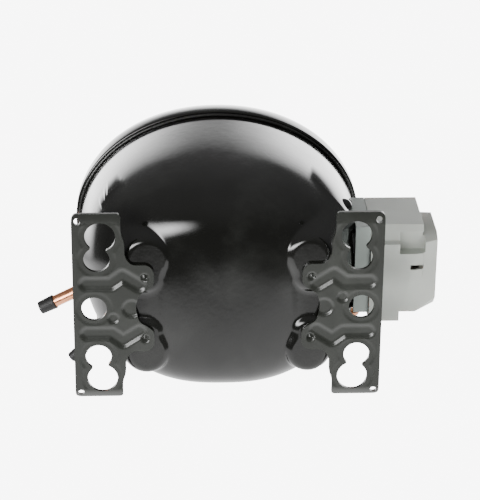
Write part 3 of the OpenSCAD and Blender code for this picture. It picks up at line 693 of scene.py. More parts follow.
class COMPRESSOR_OT_lower_shell(bpy.types.Operator):
    """Pressed lower shell: superellipse sections from the seam to the pole, with four mounting
    pads, and the same surface 3 mm further in as its inner wall"""
    bl_idname = "compressor.lower_shell"
    bl_label = "Lower shell"

    def execute(self, context):
        s = context.scene.compressor_shell
        low, high = box_of("lower_shell")
        half_a, half_b = LOWER_HALF
        around = angles(s.around, 3.0)
        outer = half_shell(half_a, half_b, SEAM_Z, low[2], s.round_length, s.round_depth,
                           LOWER_POWER, around, 92)
        outer = press_pads(outer, s.pad_blend / MM)
        inner = half_shell(half_a - WALL, half_b - WALL, SEAM_Z, low[2] + WALL + 0.4, s.round_length,
                           s.round_depth, LOWER_POWER, around, 16)
        inner[..., 2] = np.maximum(inner[..., 2], low[2] + WALL)
        neck = np.array([[half_a, SEAM_Z], [half_a, high[2] - 0.6], [half_a - 0.6, high[2]],
                         [half_a - WALL + 0.6, high[2]], [half_a - WALL, high[2] - 0.6],
                         [half_a - WALL, SEAM_Z]])
        edge = oval(neck[:, 0], neck[:, 0] - half_a + half_b, 2.0, neck[:, 1], around)
        rows = np.concatenate([outer[::-1], edge, inner])
        k = np.linspace(-1.5, 1.5, 17)
        ball = BOSS_RADIUS * np.stack([np.cos(k), np.sin(k)], 1)
        boss = turned(ball, BOSS_AT, (0.72, -0.6, -0.3), 40)
        build("lower_shell_pressing", [skin(rows), skin(boss)], finish_of("enamel"), "shell",
              ["lower_shell"], 60)
        return {"FINISHED"}


class COMPRESSOR_OT_upper_shell(bpy.types.Operator):
    """Upper shell: a straight skirt that laps the lower shell, a rounded edge, and a dome of
    superellipse sections, with its inner wall 3 mm further in"""
    bl_idname = "compressor.upper_shell"
    bl_label = "Upper shell"

    def execute(self, context):
        s = context.scene.compressor_shell
        low, high = box_of("upper_shell")
        half = (high - low) / 2
        skirt, around = low[2] + 6.0, angles(s.around)
        r = s.edge_radius / MM
        outer = half_shell(half[0], half[1], skirt, high[2], s.round_top, s.round_top,
                           UPPER_POWER, around, 80)
        inner = half_shell(half[0] - WALL, half[1] - WALL, skirt, high[2] - WALL, s.round_top,
                           s.round_top, UPPER_POWER, around, 24)
        k = np.linspace(0, np.pi / 2, 7)
        out_edge = np.stack([half[0] - r + r * np.cos(k), low[2] + r - r * np.sin(k)], 1)
        in_edge = np.stack([half[0] - WALL + 0.5 - 0.5 * np.sin(k), low[2] + 0.5 - 0.5 * np.cos(k)], 1)
        edge = np.concatenate([[[half[0], skirt]], out_edge, in_edge, [[half[0] - WALL, skirt]]])
        rim = oval(edge[:, 0], edge[:, 0] - half[0] + half[1], 2.0, edge[:, 1], around)
        build("upper_shell_pressing", [skin(np.concatenate([outer[::-1], rim, inner]))],
              finish_of("enamel"), "shell", ["upper_shell"], 60)
        return {"FINISHED"}


class COMPRESSOR_OT_weld(bpy.types.Operator):
    """Weld bead in the corner under the upper shell's edge: a half-round profile carried round
    the oval, its size rippling with the angle as the overlapping welding pools do"""
    bl_idname = "compressor.weld"
    bl_label = "Weld seam"

    def execute(self, context):
        low, high = box_of("weld_seam")
        around = 720
        t = np.linspace(0, 2 * np.pi, around, endpoint=False)
        ripple = 1 + 0.10 * np.abs(np.sin(t * 95)) + 0.05 * np.sin(t * 11 + 1)
        k = np.linspace(0, 2 * np.pi, 12, endpoint=False)
        rows = []
        for angle in k:
            reach = 1.15 + 0.95 * math.cos(angle)
            lift = 1.25 - 1.2 * math.sin(angle)
            ring = oval(np.array([97.0 + reach]), np.array([77.0 + reach]), 2.0,
                        np.array([SEAM_Z - lift]), t)[0]
            away = ring[:, :2] - [SHELL_X, SHELL_Y]
            away /= np.linalg.norm(away, axis=1)[:, None]
            ring[:, :2] += away * ((ripple - 1) * reach)[:, None]
            ring[:, 2] = np.clip(ring[:, 2] - (ripple - 1) * 0.8, low[2], high[2])
            rows.append(ring)
        build("weld_bead", [skin(np.stack(rows), loop=True)], finish_of("weld"), "shell",
              ["weld_seam"], 75)
        return {"FINISHED"}


# ------------------------------------------------------------------ base plates

PLATE_EDGE = [(100.8, 65.9), (69.2, 65.9), (69.2, 53), (67, 47), (67, 37), (63, 31), (52, 31),
              (48.2, 27), (48.2, 17), (52, 13.5), (58, 10), (60.6, 0)]
EDGE_RADII = [4.0, 3.0, 3.0, 5.0, 6.0, 6.0, 6.0, 4.5, 4.5, 3.0, 8.0, 10.0]
CHANNEL = np.array([(92.0, 18.0), (76.0, 18.0), (68.6, 23.6), (58.0, 16.6)])


def round_corners(corners, radii):
    """Closed outline with each corner rounded by a quadratic arc; radii is one or one each."""
    corners = np.asarray(corners, float)
    radii = np.broadcast_to(radii, len(corners))
    t = np.linspace(0, 1, 7)[:, None]
    out = []
    sides = zip(np.roll(corners, 1, 0), corners, np.roll(corners, -1, 0), radii)
    for before, at, after, radius in sides:
        back, on = before - at, after - at
        reach = min(radius, np.linalg.norm(back) * 0.48, np.linalg.norm(on) * 0.48)
        a, b = at + back / np.linalg.norm(back) * reach, at + on / np.linalg.norm(on) * reach
        out.append((1 - t) ** 2 * a + 2 * t * (1 - t) * at + t ** 2 * b)
    return np.concatenate(out)


def resample(loop, pitch):
    """Points along a closed line at an even pitch."""
    closed = np.concatenate([loop, loop[:1]])
    run = np.concatenate([[0], np.cumsum(np.linalg.norm(np.diff(closed, axis=0), axis=1))])
    at = np.linspace(0, run[-1], max(int(run[-1] / pitch), 12), endpoint=False)
    return np.stack([np.interp(at, run, closed[:, i]) for i in (0, 1)], 1)


def inside(points, loop):
    """Even-odd test of many points against a closed line."""
    x, y = points[:, 0, None], points[:, 1, None]
    ax, ay = loop[:, 0], loop[:, 1]
    bx, by = np.roll(ax, -1), np.roll(ay, -1)
    crosses = (ay > y) != (by > y)
    with np.errstate(divide="ignore", invalid="ignore"):
        at = ax + (y - ay) * (bx - ax) / (by - ay)
    return (crosses & (x < at)).sum(1) % 2 == 1


def to_loop(points, loop):
    """Distance from each point to a closed line of closely spaced points."""
    gap = points[:, None] - loop[None]
    return np.sqrt((gap ** 2).sum(-1)).min(1)


def to_line(points, line):
    """Distance from each point to an open line of segments."""
    best = np.full(len(points), 1e9)
    for a, b in zip(line[:-1], line[1:]):
        d = b - a
        t = np.clip(((points - a) @ d) / (d @ d), 0, 1)
        best = np.minimum(best, np.linalg.norm(points - a - t[:, None] * d, axis=1))
    return best


def figure_eight(side, pitch):
    """Outline of the double grommet hole: the union of two circles, with the waist between
    them cut back to a small radius."""
    big, small = np.array([82.55, side * 50.8]), np.array([85.0, side * 35.0])
    apart = np.linalg.norm(small - big)
    aim = (small - big) / apart
    cross = np.array([-aim[1], aim[0]])
    r1, r2, waist = 9.9, 8.5, 5.3
    a1, a2 = math.asin(waist / r1), math.asin(waist / r2)
    k1 = np.linspace(a1, 2 * np.pi - a1, 60)
    k2 = np.linspace(np.pi + a2, 3 * np.pi - a2, 50)
    ring1 = big + r1 * (np.cos(k1)[:, None] * aim + np.sin(k1)[:, None] * cross)
    ring2 = small + r2 * (np.cos(k2)[:, None] * aim + np.sin(k2)[:, None] * cross)
    return resample(np.concatenate([ring1, ring2]), pitch)


def circle(x, y, radius, pitch):
    """Round hole's outline, with its points about a pitch apart."""
    k = np.linspace(0, 2 * np.pi, max(int(2 * np.pi * radius / pitch), 16), endpoint=False)
    return np.stack([x + radius * np.cos(k), y + radius * np.sin(k)], 1)


def ease(t):
    """0 to 1 along the smooth cubic 3 t^2 - 2 t^3."""
    t = np.clip(t, 0, 1)
    return t * t * (3 - 2 * t)


def plate_height(points, holes, sizes):
    """How far the sheet is pressed up from its flat underside, in mm: channels, a curl along
    the two ends, dished rims round the grommet holes, a round emboss beside the inner cut-out,
    a half-pierced button and weld dimples in the fingers."""
    x, y = points[:, 0], points[:, 1]
    up = np.zeros(len(points))
    width, depth = sizes.channel_width / MM, sizes.channel_depth / MM
    for side in (-1, 1):
        d = to_line(points * [1, side], CHANNEL)
        up = np.maximum(up, depth * ease((width / 2 - d) / 3.0 + 0.5))
    for loop in holes:
        d = to_loop(points, loop)
        up = np.maximum(up, sizes.rim_depth / MM * ease((sizes.rim_width / MM - d) / 1.6 + 0.5))
    ends = np.clip((np.abs(y) - 59.5) / 6.5, 0, 1)
    up = np.maximum(up, 3.2 * ends ** 1.4)
    up = np.maximum(up, 1.1 * ease((5.8 - np.hypot(x - 62.8, y)) / 1.8 + 0.5))
    up = up + 1.0 * ease((3.4 - np.hypot(x - 74.8, y + 7.0)) / 0.9 + 0.5)
    for side in (-1, 1):
        d = np.hypot(x - 54.3, y - side * 22.0)
        up = up + 1.7 * ease((2.3 - d) / 1.3 + 0.5) - 1.1 * ease((0.8 - d) / 1.0 + 0.5)
    return up


def base_plate(name, node, flip, sizes):
    """Stamped plate: its outline and holes filled with an even grid of points, each lifted by
    the pressing height, with the top one sheet thickness above."""
    pitch = sizes.pitch / MM
    edge = PLATE_EDGE + [(x, -y) for x, y in reversed(PLATE_EDGE[:-1])]
    outline = resample(round_corners(edge, EDGE_RADII + EDGE_RADII[-2::-1]), pitch)
    grommets = [figure_eight(1, pitch), figure_eight(-1, pitch), circle(87.2, 0.0, 8.25, pitch)]
    holes = grommets + [circle(97.0, 61.5, 2.1, pitch), circle(97.0, -61.5, 2.1, pitch)]
    gx, gy = np.meshgrid(np.arange(48, 101, pitch), np.arange(-66, 66.1, pitch))
    gx = gx + (np.arange(gx.shape[0])[:, None] % 2) * pitch / 2
    grid = np.stack([gx.ravel(), gy.ravel()], 1)
    keep = inside(grid, outline) & (to_loop(grid, outline) > 0.5 * pitch)
    for loop in holes:
        keep &= ~inside(grid, loop) & (to_loop(grid, loop) > 0.5 * pitch)
    loops = [outline] + holes
    flat = np.concatenate(loops + [grid[keep]])
    edges, start = [], 0
    for loop in loops:
        k = np.arange(len(loop)) + start
        edges += np.stack([k, np.roll(k, -1)], 1).tolist()
        start += len(loop)
    points, _, faces, *_ = delaunay_2d_cdt([Vector(p) for p in flat.tolist()], edges, [], 0, 1e-5)
    points = np.array([tuple(p) for p in points])
    faces = np.array([f for f in faces if len(f) == 3])
    middle = points[faces].mean(1)
    solid = inside(middle, outline)
    for loop in holes:
        solid &= ~inside(middle, loop)
    faces = faces[solid]
    up = plate_height(points, grommets, sizes)
    if flip:
        points = -points
    under = np.column_stack([points, up])
    over = under + [0, 0, sizes.thickness / MM]
    n = len(points)
    a, b, c = points[faces[:, 0]], points[faces[:, 1]], points[faces[:, 2]]
    spin = (b - a)[:, 0] * (c - a)[:, 1] - (b - a)[:, 1] * (c - a)[:, 0]
    faces[spin < 0] = faces[spin < 0][:, ::-1]
    pairs = np.concatenate([faces[:, [0, 1]], faces[:, [1, 2]], faces[:, [2, 0]]])
    keys = pairs[:, 0].astype(np.int64) * n + pairs[:, 1]
    back = pairs[:, 1].astype(np.int64) * n + pairs[:, 0]
    rim = pairs[~np.isin(keys, back)]
    walls = np.stack([rim[:, 0], rim[:, 1], rim[:, 1] + n, rim[:, 0] + n], 1)
    piece = build(name, [(np.concatenate([under, over]), [faces[:, ::-1], faces + n, walls])],
                  finish_of("plate enamel"), "shell", [node], 50)
    bevel = piece.modifiers.new("Sheared edges", "BEVEL")
    bevel.width = sizes.edge_round
    bevel.segments = 2
    bevel.limit_method = "ANGLE"
    bevel.angle_limit = math.radians(50)
    return piece


class COMPRESSOR_OT_base_plates(bpy.types.Operator):
    """Two stamped base plates, the same pressing turned half round"""
    bl_idname = "compressor.base_plates"
    bl_label = "Base plates"

    def execute(self, context):
        sizes = context.scene.compressor_plates
        base_plate("right_base_plate", "base_plate_right", False, sizes)
        base_plate("left_base_plate", "base_plate_left", True, sizes)
        return {"FINISHED"}


# ------------------------------------------------------------------ tubes and caps

SUCTION = ((-84.0, 11.2, 70.0), 153.4, 48.1, 4.1)       # start, turn about Z, length, radius
PROCESS = ((-74.4, 32.8, 50.0), 137.8, 42.0, 3.2)
DISCHARGE = ((89.7, 33.6, 56.0), 100.0, 3.2)            # elbow, top, radius
DISCHARGE_TURN = 26.565     # its foot's direction about Z, degrees
ELBOW = 8.0                 # bend radius at its foot
CAP_LENGTH = 11.5
CAP_WALL = 0.9
CAP_GAP = 1.7               # from a tube's cut end to the outside of its cap's end
TUBE_POINTS = 56


def pointing(turn):
    """Level unit vector at turn degrees about Z."""
    return np.array([math.cos(math.radians(turn)), math.sin(math.radians(turn)), 0.0])


def hollow(length_mm, radius, wall):
    """Profile of an open tube: outside, a rounded cut end, inside and back."""
    return rounded([(radius, 0), (radius, 0.01), (radius, length_mm), (radius - wall, length_mm),
                    (radius - wall, 0.01), (radius - wall, 0)], 0.25, 4)


def cap_profile(radius):
    """Profile of a shipping cap: a thick mouth, a slightly tapering sleeve and a domed end."""
    r, bore = radius + CAP_WALL, radius + 0.06
    return rounded([(0.01, CAP_LENGTH), (r - 0.5, CAP_LENGTH - 0.05), (r - 0.1, 1.6), (r, 1.2), (r, 0.0),
                    (bore, 0.0), (bore, CAP_LENGTH - CAP_WALL), (0.01, CAP_LENGTH - CAP_WALL)],
                   CAP_WALL, 7)


def braze(radius, reach):
    """Profile of the painted braze collar round a tube's foot: a concave fillet."""
    k = np.linspace(0, np.pi / 2, 9)
    curve = np.stack([radius + reach - reach * np.sin(k), reach - reach * np.cos(k)], 1)
    return np.concatenate([[[radius - 0.5, -2.5]], [[radius + reach, -2.5]], curve,
                           [[radius - 0.1, reach + 0.3]], [[radius - 0.5, reach + 0.2]]])


class COMPRESSOR_OT_tubes(bpy.types.Operator):
    """Copper suction, process and discharge tubes: hollow turned walls, with painted braze
    collars where they leave the shell; the discharge tube is swept round its elbow"""
    bl_idname = "compressor.tubes"
    bl_label = "Copper tubes"

    def execute(self, context):
        s = context.scene.compressor_tubes
        wall, reach = s.wall / MM, s.braze / MM
        for name, node, (start, turn, full, radius) in (
                ("suction_pipe", "suction_tube", SUCTION), ("process_pipe", "process_tube", PROCESS)):
            rows = turned(hollow(full - CAP_GAP, radius, wall), start, pointing(turn), TUBE_POINTS)
            build(name, [skin(rows, loop=True)], finish_of("copper"), "shell", [node], 40)
        (x, y, z), top, radius = DISCHARGE
        out_way = pointing(DISCHARGE_TURN)
        k = np.linspace(0, np.pi / 2, 16)[:, None]
        corner = np.array([x, y, z])
        elbow = corner - ELBOW * out_way * (1 - np.sin(k)) + np.array([0, 0, ELBOW]) * (1 - np.cos(k))
        path = np.concatenate([np.linspace(corner - 15 * out_way, corner - 8.2 * out_way, 6), elbow,
                               np.linspace(corner + [0, 0, 8.3], [x, y, top - CAP_GAP], 12)])
        rows = np.concatenate([swept(path, radius, 48), swept(path, radius - wall, 48)[::-1]])
        build("discharge_pipe", [skin(rows, loop=True)], finish_of("copper"), "shell",
              ["discharge_tube"], 40)
        collars = []
        for (start, turn, full, radius), out in ((SUCTION, 5.5), (PROCESS, 5.0)):
            aim = pointing(turn)
            rows = turned(braze(radius, reach), np.array(start) + aim * out, aim, TUBE_POINTS)
            collars.append(skin(rows, loop=True))
        rows = turned(braze(DISCHARGE[2], reach * 0.7), corner - 9.6 * out_way, out_way, TUBE_POINTS)
        collars.append(skin(rows, loop=True))
        build("braze_collars", collars, finish_of("weld"), "shell", [], 60)
        return {"FINISHED"}


class COMPRESSOR_OT_caps(bpy.types.Operator):
    """Rubber shipping caps: a turned sleeve with a beaded mouth and a domed end"""
    bl_idname = "compressor.caps"
    bl_label = "Shipping caps"

    def execute(self, context):
        for name, node, body, (start, turn, full, radius) in (
                ("suction_plug_cap", "suction_cap", "suction_shipping_cap", SUCTION),
                ("process_plug_cap", "process_cap", "process_shipping_cap", PROCESS)):
            foot = np.array(start) + pointing(turn) * (full - CAP_LENGTH)
            build(name, [skin(turned(cap_profile(radius), foot, pointing(turn), TUBE_POINTS))],
                  finish_of("rubber"), body, [node], 50)
        (x, y, z), top, radius = DISCHARGE
        rows = turned(cap_profile(radius), (x, y, top - CAP_LENGTH), (0, 0, 1), TUBE_POINTS)
        build("discharge_plug_cap", [skin(rows)], finish_of("rubber"),
              "discharge_shipping_cap", ["discharge_cap"], 50)
        return {"FINISHED"}


# ------------------------------------------------------------------ terminal box

class COMPRESSOR_OT_terminal_box(bpy.types.Operator):
    """Terminal cover, relay holder, fence, start relay and overload protector, with rounded
    moulded edges"""
    bl_idname = "compressor.terminal_box"
    bl_label = "Terminal box"

    def execute(self, context):
        s = context.scene.compressor_boxes
        for node, finish, body, slot_name, edge in (
                ("terminal_cover", "cover", "cover", "cover_plastic", s.cover_edge),
                ("relay_holder", "holder", "shell", "holder_plastic", s.small_edge),
                ("terminal_fence", "enamel", "shell", "shell_paint", s.metal_edge),
                ("start_relay", "relay", "shell", "relay_plastic", s.small_edge),
                ("overload_protector", "phenolic", "shell", "protector_black", s.small_edge),
                ("terminal_body", "header", "shell", "header_steel", s.metal_edge),
                ("ground_screw", "zinc", "shell", "screw_zinc", s.metal_edge)):
            softened(node, finish_of(finish), body, edge, node + "_moulding")
        return {"FINISHED"}


# ------------------------------------------------------------------ springs, winding and lines

FEET = [(x, y) for x in (-41.0, 41.0) for y in (-43.0, 43.0)]


class COMPRESSOR_OT_springs(bpy.types.Operator):
    """Suspension springs: a round wire along a helix whose pitch closes up over the first and
    last turn, so the ends lie flat"""
    bl_idname = "compressor.springs"
    bl_label = "Suspension springs"

    def execute(self, context):
        low, high = box_of("suspension_springs")
        wire, radius, turns = 0.9, 6.6, 6.0
        t = np.linspace(0, 1, 260)
        rise = np.clip((t * turns - 0.9) / (turns - 1.8), 0, 1)
        seat = 1.7 * wire
        z = low[2] + wire + seat * np.clip(t * turns / 0.9, 0, 1) * 0.5 \
            + (high[2] - low[2] - 2 * wire - seat) * rise \
            + seat * 0.5 * np.clip((t * turns - turns + 0.9) / 0.9, 0, 1)
        parts = []
        for x, y in FEET:
            path = np.stack([SHELL_X + x + radius * np.cos(2 * np.pi * turns * t),
                             SHELL_Y + y + radius * np.sin(2 * np.pi * turns * t), z], 1)
            parts.append(skin(swept(path, wire, 14)))
        build("coil_springs", parts, finish_of("spring"), "shell", ["suspension_springs"],
              60, blend=((0, 0, low[2]), (0, 0, high[2])))
        return {"FINISHED"}


def winding_head(z_low, z_high, upside):
    """End turns of the winding: a rounded box profile carried round the shaft, its surface
    rippled by crossing bundles and pinched by the lacing cord."""
    around, steps = 480, 72
    t = np.linspace(0, 2 * np.pi, around, endpoint=False)[None]
    k = np.linspace(0, 2 * np.pi, steps, endpoint=False)[:, None]
    c, s = np.cos(k), np.sin(k)
    square = (np.abs(c) ** 3.4 + np.abs(s) ** 3.4) ** (-1 / 3.4)
    half_r, half_z = 6.0, (z_high - z_low) / 2 - 0.4
    ripple = 0.28 * np.sin(t * 46 + k * 5) + 0.16 * np.sin(t * 88 - k * 9)
    lacing = -0.55 * np.exp(-(((t * 24 / (2 * np.pi) + 0.08 * k) % 1 - 0.5) / 0.06) ** 2)
    grow = (ripple + lacing) * (0.35 + 0.65 * np.clip(s * upside + 0.6, 0, 1))
    r = 41.0 + (half_r * square + grow) * c
    z = (z_low + z_high) / 2 + (half_z * square + np.minimum(grow, 0.35)) * s
    return np.stack([SHELL_X + r * np.cos(t), SHELL_Y + r * np.sin(t), z + 0 * t], -1)


class COMPRESSOR_OT_winding(bpy.types.Operator):
    """Stator winding: two laced rings of end turns and the straight coil sides in the slots"""
    bl_idname = "compressor.winding"
    bl_label = "Stator winding"

    def execute(self, context):
        low, high = box_of("stator_winding")
        parts = [skin(winding_head(low[2] + 0.2, 49.6, -1), loop=True),
                 skin(winding_head(92.4, high[2] - 0.2, 1), loop=True)]
        for i in range(24):
            angle = 2 * np.pi * i / 24
            aim = np.array([math.cos(angle), math.sin(angle), 0])
            cross = np.array([-aim[1], aim[0], 0])
            k = np.linspace(0, 2 * np.pi, 24, endpoint=False)
            square = (np.abs(np.cos(k)) ** 5 + np.abs(np.sin(k)) ** 5) ** -0.2
            ring = (39.7 + 4.9 * square * np.cos(k))[:, None] * aim \
                + (2.05 * square * np.sin(k))[:, None] * cross + [SHELL_X, SHELL_Y, 0]
            rows = np.stack([ring + [0, 0, z] for z in (49.0, 71.0, 93.0)])
            parts.append(skin(rows))
        build("laced_winding", parts, finish_of("wire"), "pump_unit", ["stator_winding"], 60)
        return {"FINISHED"}


class COMPRESSOR_OT_lines(bpy.types.Operator):
    """Discharge loop and motor leads: round rods swept along smooth curves"""
    bl_idname = "compressor.lines"
    bl_label = "Inner pipe and leads"

    def execute(self, context):
        (elbow_x, elbow_y, tube_z), _, _ = DISCHARGE
        tube_x, tube_y = elbow_x - 13.4, elbow_y - 6.7
        loop = np.array([(-38, 36, 129), (-38, 36, 135), (-38, 36, 142), (-37, 38, 147), (-28, 52, 152),
                         (10, 58, 152), (50, 48, 152), (64, 38, 146), (67, 32, 120), (68, 28, 85)], float)
        loop[:, :2] += [SHELL_X, SHELL_Y]
        loop = np.concatenate([loop, [(tube_x - 12, tube_y - 6, tube_z + 6),
                                      (tube_x - 5, tube_y - 2.5, tube_z), (tube_x + 1, tube_y + 0.5, tube_z)]])
        build("discharge_loop_pipe", [skin(swept(smooth_path(loop, 14), 2.0, 24))], finish_of("ground"),
              "shell", ["discharge_loop"], 60, blend=((0, 0, 58), (0, 0, 128)))
        leads = []
        for i in range(3):
            path = smooth_path([(71.9, -13 + 8 * i, 69), (66, -13 + 8 * i, 69), (60, -12 + 7 * i, 98),
                                (46.2, -11 + 6 * i, 101)], 16)
            t = np.linspace(0, 1, len(path))
            leads.append(skin(swept(path, 1.15 + 0.05 * np.sin(t * 120), 16)))
        build("sleeved_leads", leads, finish_of("sleeve"), "shell", ["motor_leads"], 60,
              blend=((0, 0, 71), (0, 0, 97)))
        return {"FINISHED"}


# ------------------------------------------------------------------ machined and cast parts

SOFT_PARTS = (   # node, finish, body, slot, which edge size
    ("spring_caps", "nylon", "pump_unit", "nylon", "small_edge"),
    ("cluster_block", "nylon", "shell", "nylon", "small_edge"),
    ("suction_muffler", "nylon", "pump_unit", "nylon", "cast_edge"),
    ("cylinder_block", "iron", "pump_unit", "grey_iron", "cast_edge"),
    ("discharge_muffler", "iron", "pump_unit", "grey_iron", "cast_edge"),
    ("balance_weight", "iron", "crank", "grey_iron", "metal_edge"),
    ("cylinder_head", "aluminium", "pump_unit", "cast_aluminium", "cast_edge"),
    ("rotor_rings", "aluminium", "crank", "cast_aluminium", "cast_edge"),
    ("crankshaft", "ground", "crank", "machined_steel", "metal_edge"),
    ("oil_pickup", "ground", "crank", "machined_steel", "metal_edge"),
    ("yoke", "ground", "yoke_and_piston", "machined_steel", "metal_edge"),
    ("slide_block", "ground", "slide", "machined_steel", "metal_edge"),
    ("piston", "ground", "yoke_and_piston", "machined_steel", "metal_edge"),
    ("valve_plate", "ground", "pump_unit", "machined_steel", "metal_edge"),
    ("head_bolts", "zinc", "pump_unit", "screw_zinc", "metal_edge"),
    ("stator_bolts", "zinc", "pump_unit", "screw_zinc", "metal_edge"),
    ("gallery_plug", "brass", "plug", "plug_brass", "metal_edge"),
    ("reed_stop", "spring", "pump_unit", "spring_steel", "metal_edge"),
)

KEPT_PARTS = (   # thin or laminated nodes that keep their own mesh, and their finishes
    ("stator_core", "lamination"), ("rotor_core", "lamination"), ("spring_studs", "zinc"),
    ("thrust_washer", "spring"), ("suction_reed", "spring"), ("discharge_reed", "spring"),
    ("valve_gasket", "gasket"), ("head_gasket", "gasket"), ("terminal_pins", "header"),
    ("terminal_glass", "glass"),
)


class COMPRESSOR_OT_pump_parts(bpy.types.Operator):
    """Cast, turned and moulded parts of the pump with their edges rounded, and finishes on the
    thin parts that keep their own mesh"""
    bl_idname = "compressor.pump_parts"
    bl_label = "Pump parts"

    def execute(self, context):
        sizes = context.scene.compressor_boxes
        for node, finish, body, slot_name, edge in SOFT_PARTS:
            softened(node, finish_of(finish), body, getattr(sizes, edge), node + "_part",
                     segments=2)
        for node, finish in KEPT_PARTS:
            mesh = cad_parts[node].data
            mesh.materials.clear()
            mesh.materials.append(finish_of(finish))
        return {"FINISHED"}


# ------------------------------------------------------------------ stage

def area_light(name, place_at, aim_at, size, power):
    """Square area light that lights surfaces but doesn't show in their gloss."""
    data = bpy.data.lights.new(name, "AREA")
    data.size = size
    data.energy = power
    light = bpy.data.objects.new(name, data)
    light.matrix_world = Matrix.Translation(place_at) @ (
        Vector(aim_at) - Vector(place_at)).to_track_quat("-Z", "Y").to_matrix().to_4x4()
    light.visible_glossy = False
    bpy.context.scene.collection.objects.link(light)
    return light


def floor_finish():
    """Pale floor that is seen only from above: other rays and its underside pass through."""
    material = bpy.data.materials.new("Pale floor")
    material.use_nodes = True
    n, l = material.node_tree.nodes, material.node_tree.links
    n.clear()
    out = n.new("ShaderNodeOutputMaterial")
    paper = n.new("ShaderNodeBsdfDiffuse")
    clear = n.new("ShaderNodeBsdfTransparent")
    here = n.new("ShaderNodeTexCoord")
    cloud = noise(n, l, here.outputs["Object"], 3.0, 4.0)
    tint(n, l, cloud.outputs["Fac"], (0.80, 0.80, 0.80, 1), (0.84, 0.84, 0.84, 1),
         paper.inputs["Color"])
    path = n.new("ShaderNodeLightPath")
    side = n.new("ShaderNodeNewGeometry")
    front = n.new("ShaderNodeMath")
    front.operation = "SUBTRACT"
    front.use_clamp = True
    l.new(path.outputs["Is Camera Ray"], front.inputs[0])
    l.new(side.outputs["Backfacing"], front.inputs[1])
    mix = n.new("ShaderNodeMixShader")
    l.new(front.outputs[0], mix.inputs["Fac"])
    l.new(clear.outputs[0], mix.inputs[1])
    l.new(paper.outputs[0], mix.inputs[2])
    l.new(mix.outputs[0], out.inputs["Surface"])
    return material


def studio_air():
    """World: white to the camera. To everything else it is a studio with a white sweep beyond the
    object, a grey lower half towards +Y, a dark lower half towards -Y, where the camera stands,
    and one long soft box low on its left."""
    world = bpy.data.worlds.new("Studio")
    bpy.context.scene.world = world
    world.use_nodes = True
    n, l = world.node_tree.nodes, world.node_tree.links
    back = n["Background"]
    way = n.new("ShaderNodeSeparateXYZ")
    l.new(n.new("ShaderNodeTexCoord").outputs["Generated"], way.inputs[0])
    x, y, z = (way.outputs[axis] for axis in "XYZ")

    def both(operation, a, b):
        return arithmetic(n, l, operation, a, b)

    def fade(value, start, end, to_low=0.0, to_high=1.0):
        out = spread(n, l, value, start, end, to_low, to_high)
        out.node.interpolation_type = "SMOOTHSTEP"
        return out

    bowed = both("ADD", y, both("MULTIPLY", both("MULTIPLY", x, x), 0.12))
    grey = both("ADD", fade(bowed, 0.398, 0.455, 0.12, 1.75), spread(n, l, y, 0.44, 0.9, 0.0, 0.45))
    beyond = both("ADD", both("ADD", both("MULTIPLY", x, 0.1), both("MULTIPLY", y, 0.5)),
                  both("MULTIPLY", z, 0.86))
    white = both("MULTIPLY", fade(beyond, 0.56, 0.82, 0.0, 6.0), fade(y, 0.2, 0.45, 1.0, 0.0))
    dark = spread(n, l, y, 0.0, -1.0, 0.13, 0.36)
    box = both("MULTIPLY", both("MULTIPLY", fade(x, -0.08, -0.5), fade(y, -0.46, -0.16)),
               both("MULTIPLY", fade(y, -0.16, 0.06, 1.0, 0.0), fade(z, -0.45, -0.3, 22.0, 0.0)))
    path = n.new("ShaderNodeLightPath")
    level = both("MAXIMUM", both("MAXIMUM", grey, white), both("MAXIMUM", dark, box))
    seen = both("MULTIPLY", path.outputs["Is Camera Ray"], 8.0)
    l.new(both("MAXIMUM", level, seen), back.inputs["Strength"])
    back.inputs["Color"].default_value = (1.0, 1.0, 1.0, 1)


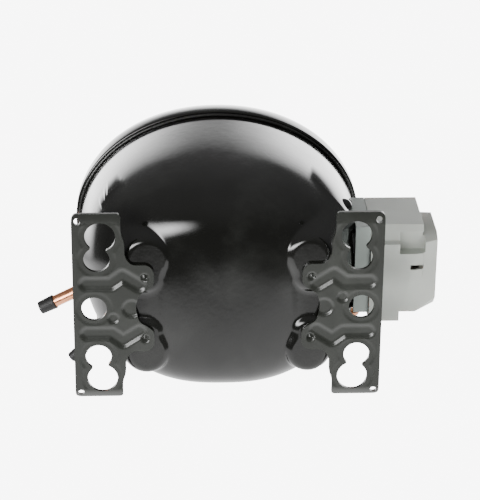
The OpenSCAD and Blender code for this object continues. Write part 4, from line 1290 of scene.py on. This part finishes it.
class COMPRESSOR_OT_stage(bpy.types.Operator):
    """Pale floor, white studio, soft lights and the camera under the base plates"""
    bl_idname = "compressor.stage"
    bl_label = "Stage"

    def execute(self, context):
        s = context.scene.compressor_stage
        studio_air()
        floor = bpy.data.meshes.new("floor")
        reach = 3.0
        floor.from_pydata([(-reach, -reach, -0.0005), (reach, -reach, -0.0005), (reach, reach, -0.0005),
                           (-reach, reach, -0.0005)], [], [(0, 1, 2, 3)])
        floor.materials.append(floor_finish())
        ground = bpy.data.objects.new("floor", floor)
        context.scene.collection.objects.link(ground)
        lights = [
            area_light("under_fill", (1.0, 0.25, -1.0), (0.1, 0, 0.08), 1.0, 14.0),
            area_light("top_fill", (0.3, -0.5, 1.6), (0, 0, 0.1), 1.2, 8.0),
        ]
        camera = bpy.data.cameras.new("camera")
        camera.lens = s.lens
        camera.sensor_width = 36.0
        camera.clip_end = 20.0
        ct, st = math.cos(s.tilt), math.sin(s.tilt)
        cy, sy = math.cos(s.swing), math.sin(s.swing)
        cr, sr = math.cos(s.roll), math.sin(s.roll)
        lean = np.array([[1, 0, 0], [0, ct, -st], [0, st, ct]])
        swing = np.array([[cy, 0, sy], [0, 1, 0], [-sy, 0, cy]])
        roll = np.array([[cr, -sr, 0], [sr, cr, 0], [0, 0, 1]])
        right, down, ahead = roll @ swing @ lean
        eye = bpy.data.objects.new("camera", camera)
        turn = np.eye(4)
        turn[:3, 0], turn[:3, 1], turn[:3, 2] = right, -down, -ahead
        turn[:3, 3] = (s.camera_x, s.camera_y, s.camera_z)
        eye.matrix_world = Matrix(turn.tolist())
        context.scene.collection.objects.link(eye)
        context.scene.camera = eye
        return {"FINISHED"}


# ------------------------------------------------------------------ panel and registration

OPERATORS = (COMPRESSOR_OT_lower_shell, COMPRESSOR_OT_upper_shell, COMPRESSOR_OT_weld,
             COMPRESSOR_OT_base_plates, COMPRESSOR_OT_tubes, COMPRESSOR_OT_caps,
             COMPRESSOR_OT_terminal_box, COMPRESSOR_OT_springs, COMPRESSOR_OT_winding,
             COMPRESSOR_OT_lines, COMPRESSOR_OT_pump_parts, COMPRESSOR_OT_stage)

GROUP_PROPERTIES = (("compressor_shell", CompressorShellSizes),
                    ("compressor_plates", CompressorPlateSizes),
                    ("compressor_tubes", CompressorTubeSizes), ("compressor_boxes", CompressorBoxSizes),
                    ("compressor_colours", CompressorColours), ("compressor_stage", CompressorStageSizes))


class COMPRESSOR_PT_panel(bpy.types.Panel):
    """Sizes, colours and pieces of the compressor"""
    bl_idname = "COMPRESSOR_PT_panel"
    bl_label = "Compressor"
    bl_space_type = "VIEW_3D"
    bl_region_type = "UI"
    bl_category = "Compressor"

    def draw(self, context):
        for attribute, kind in GROUP_PROPERTIES:
            box = self.layout.box()
            group = getattr(context.scene, attribute)
            for name in kind.__annotations__:
                box.prop(group, name)
        for operator in OPERATORS:
            self.layout.operator(operator.bl_idname)


def register():
    for attribute, kind in GROUP_PROPERTIES:
        bpy.utils.register_class(kind)
        setattr(bpy.types.Scene, attribute, PointerProperty(type=kind))
    for operator in OPERATORS:
        bpy.utils.register_class(operator)
    bpy.utils.register_class(COMPRESSOR_PT_panel)


def unregister():
    bpy.utils.unregister_class(COMPRESSOR_PT_panel)
    for operator in reversed(OPERATORS):
        bpy.utils.unregister_class(operator)
    for attribute, kind in reversed(GROUP_PROPERTIES):
        delattr(bpy.types.Scene, attribute)
        bpy.utils.unregister_class(kind)


def main():
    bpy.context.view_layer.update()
    register()
    for operator in OPERATORS:
        group, name = operator.bl_idname.split(".")
        getattr(getattr(bpy.ops, group), name)()


if __name__ == "__main__":
    main()
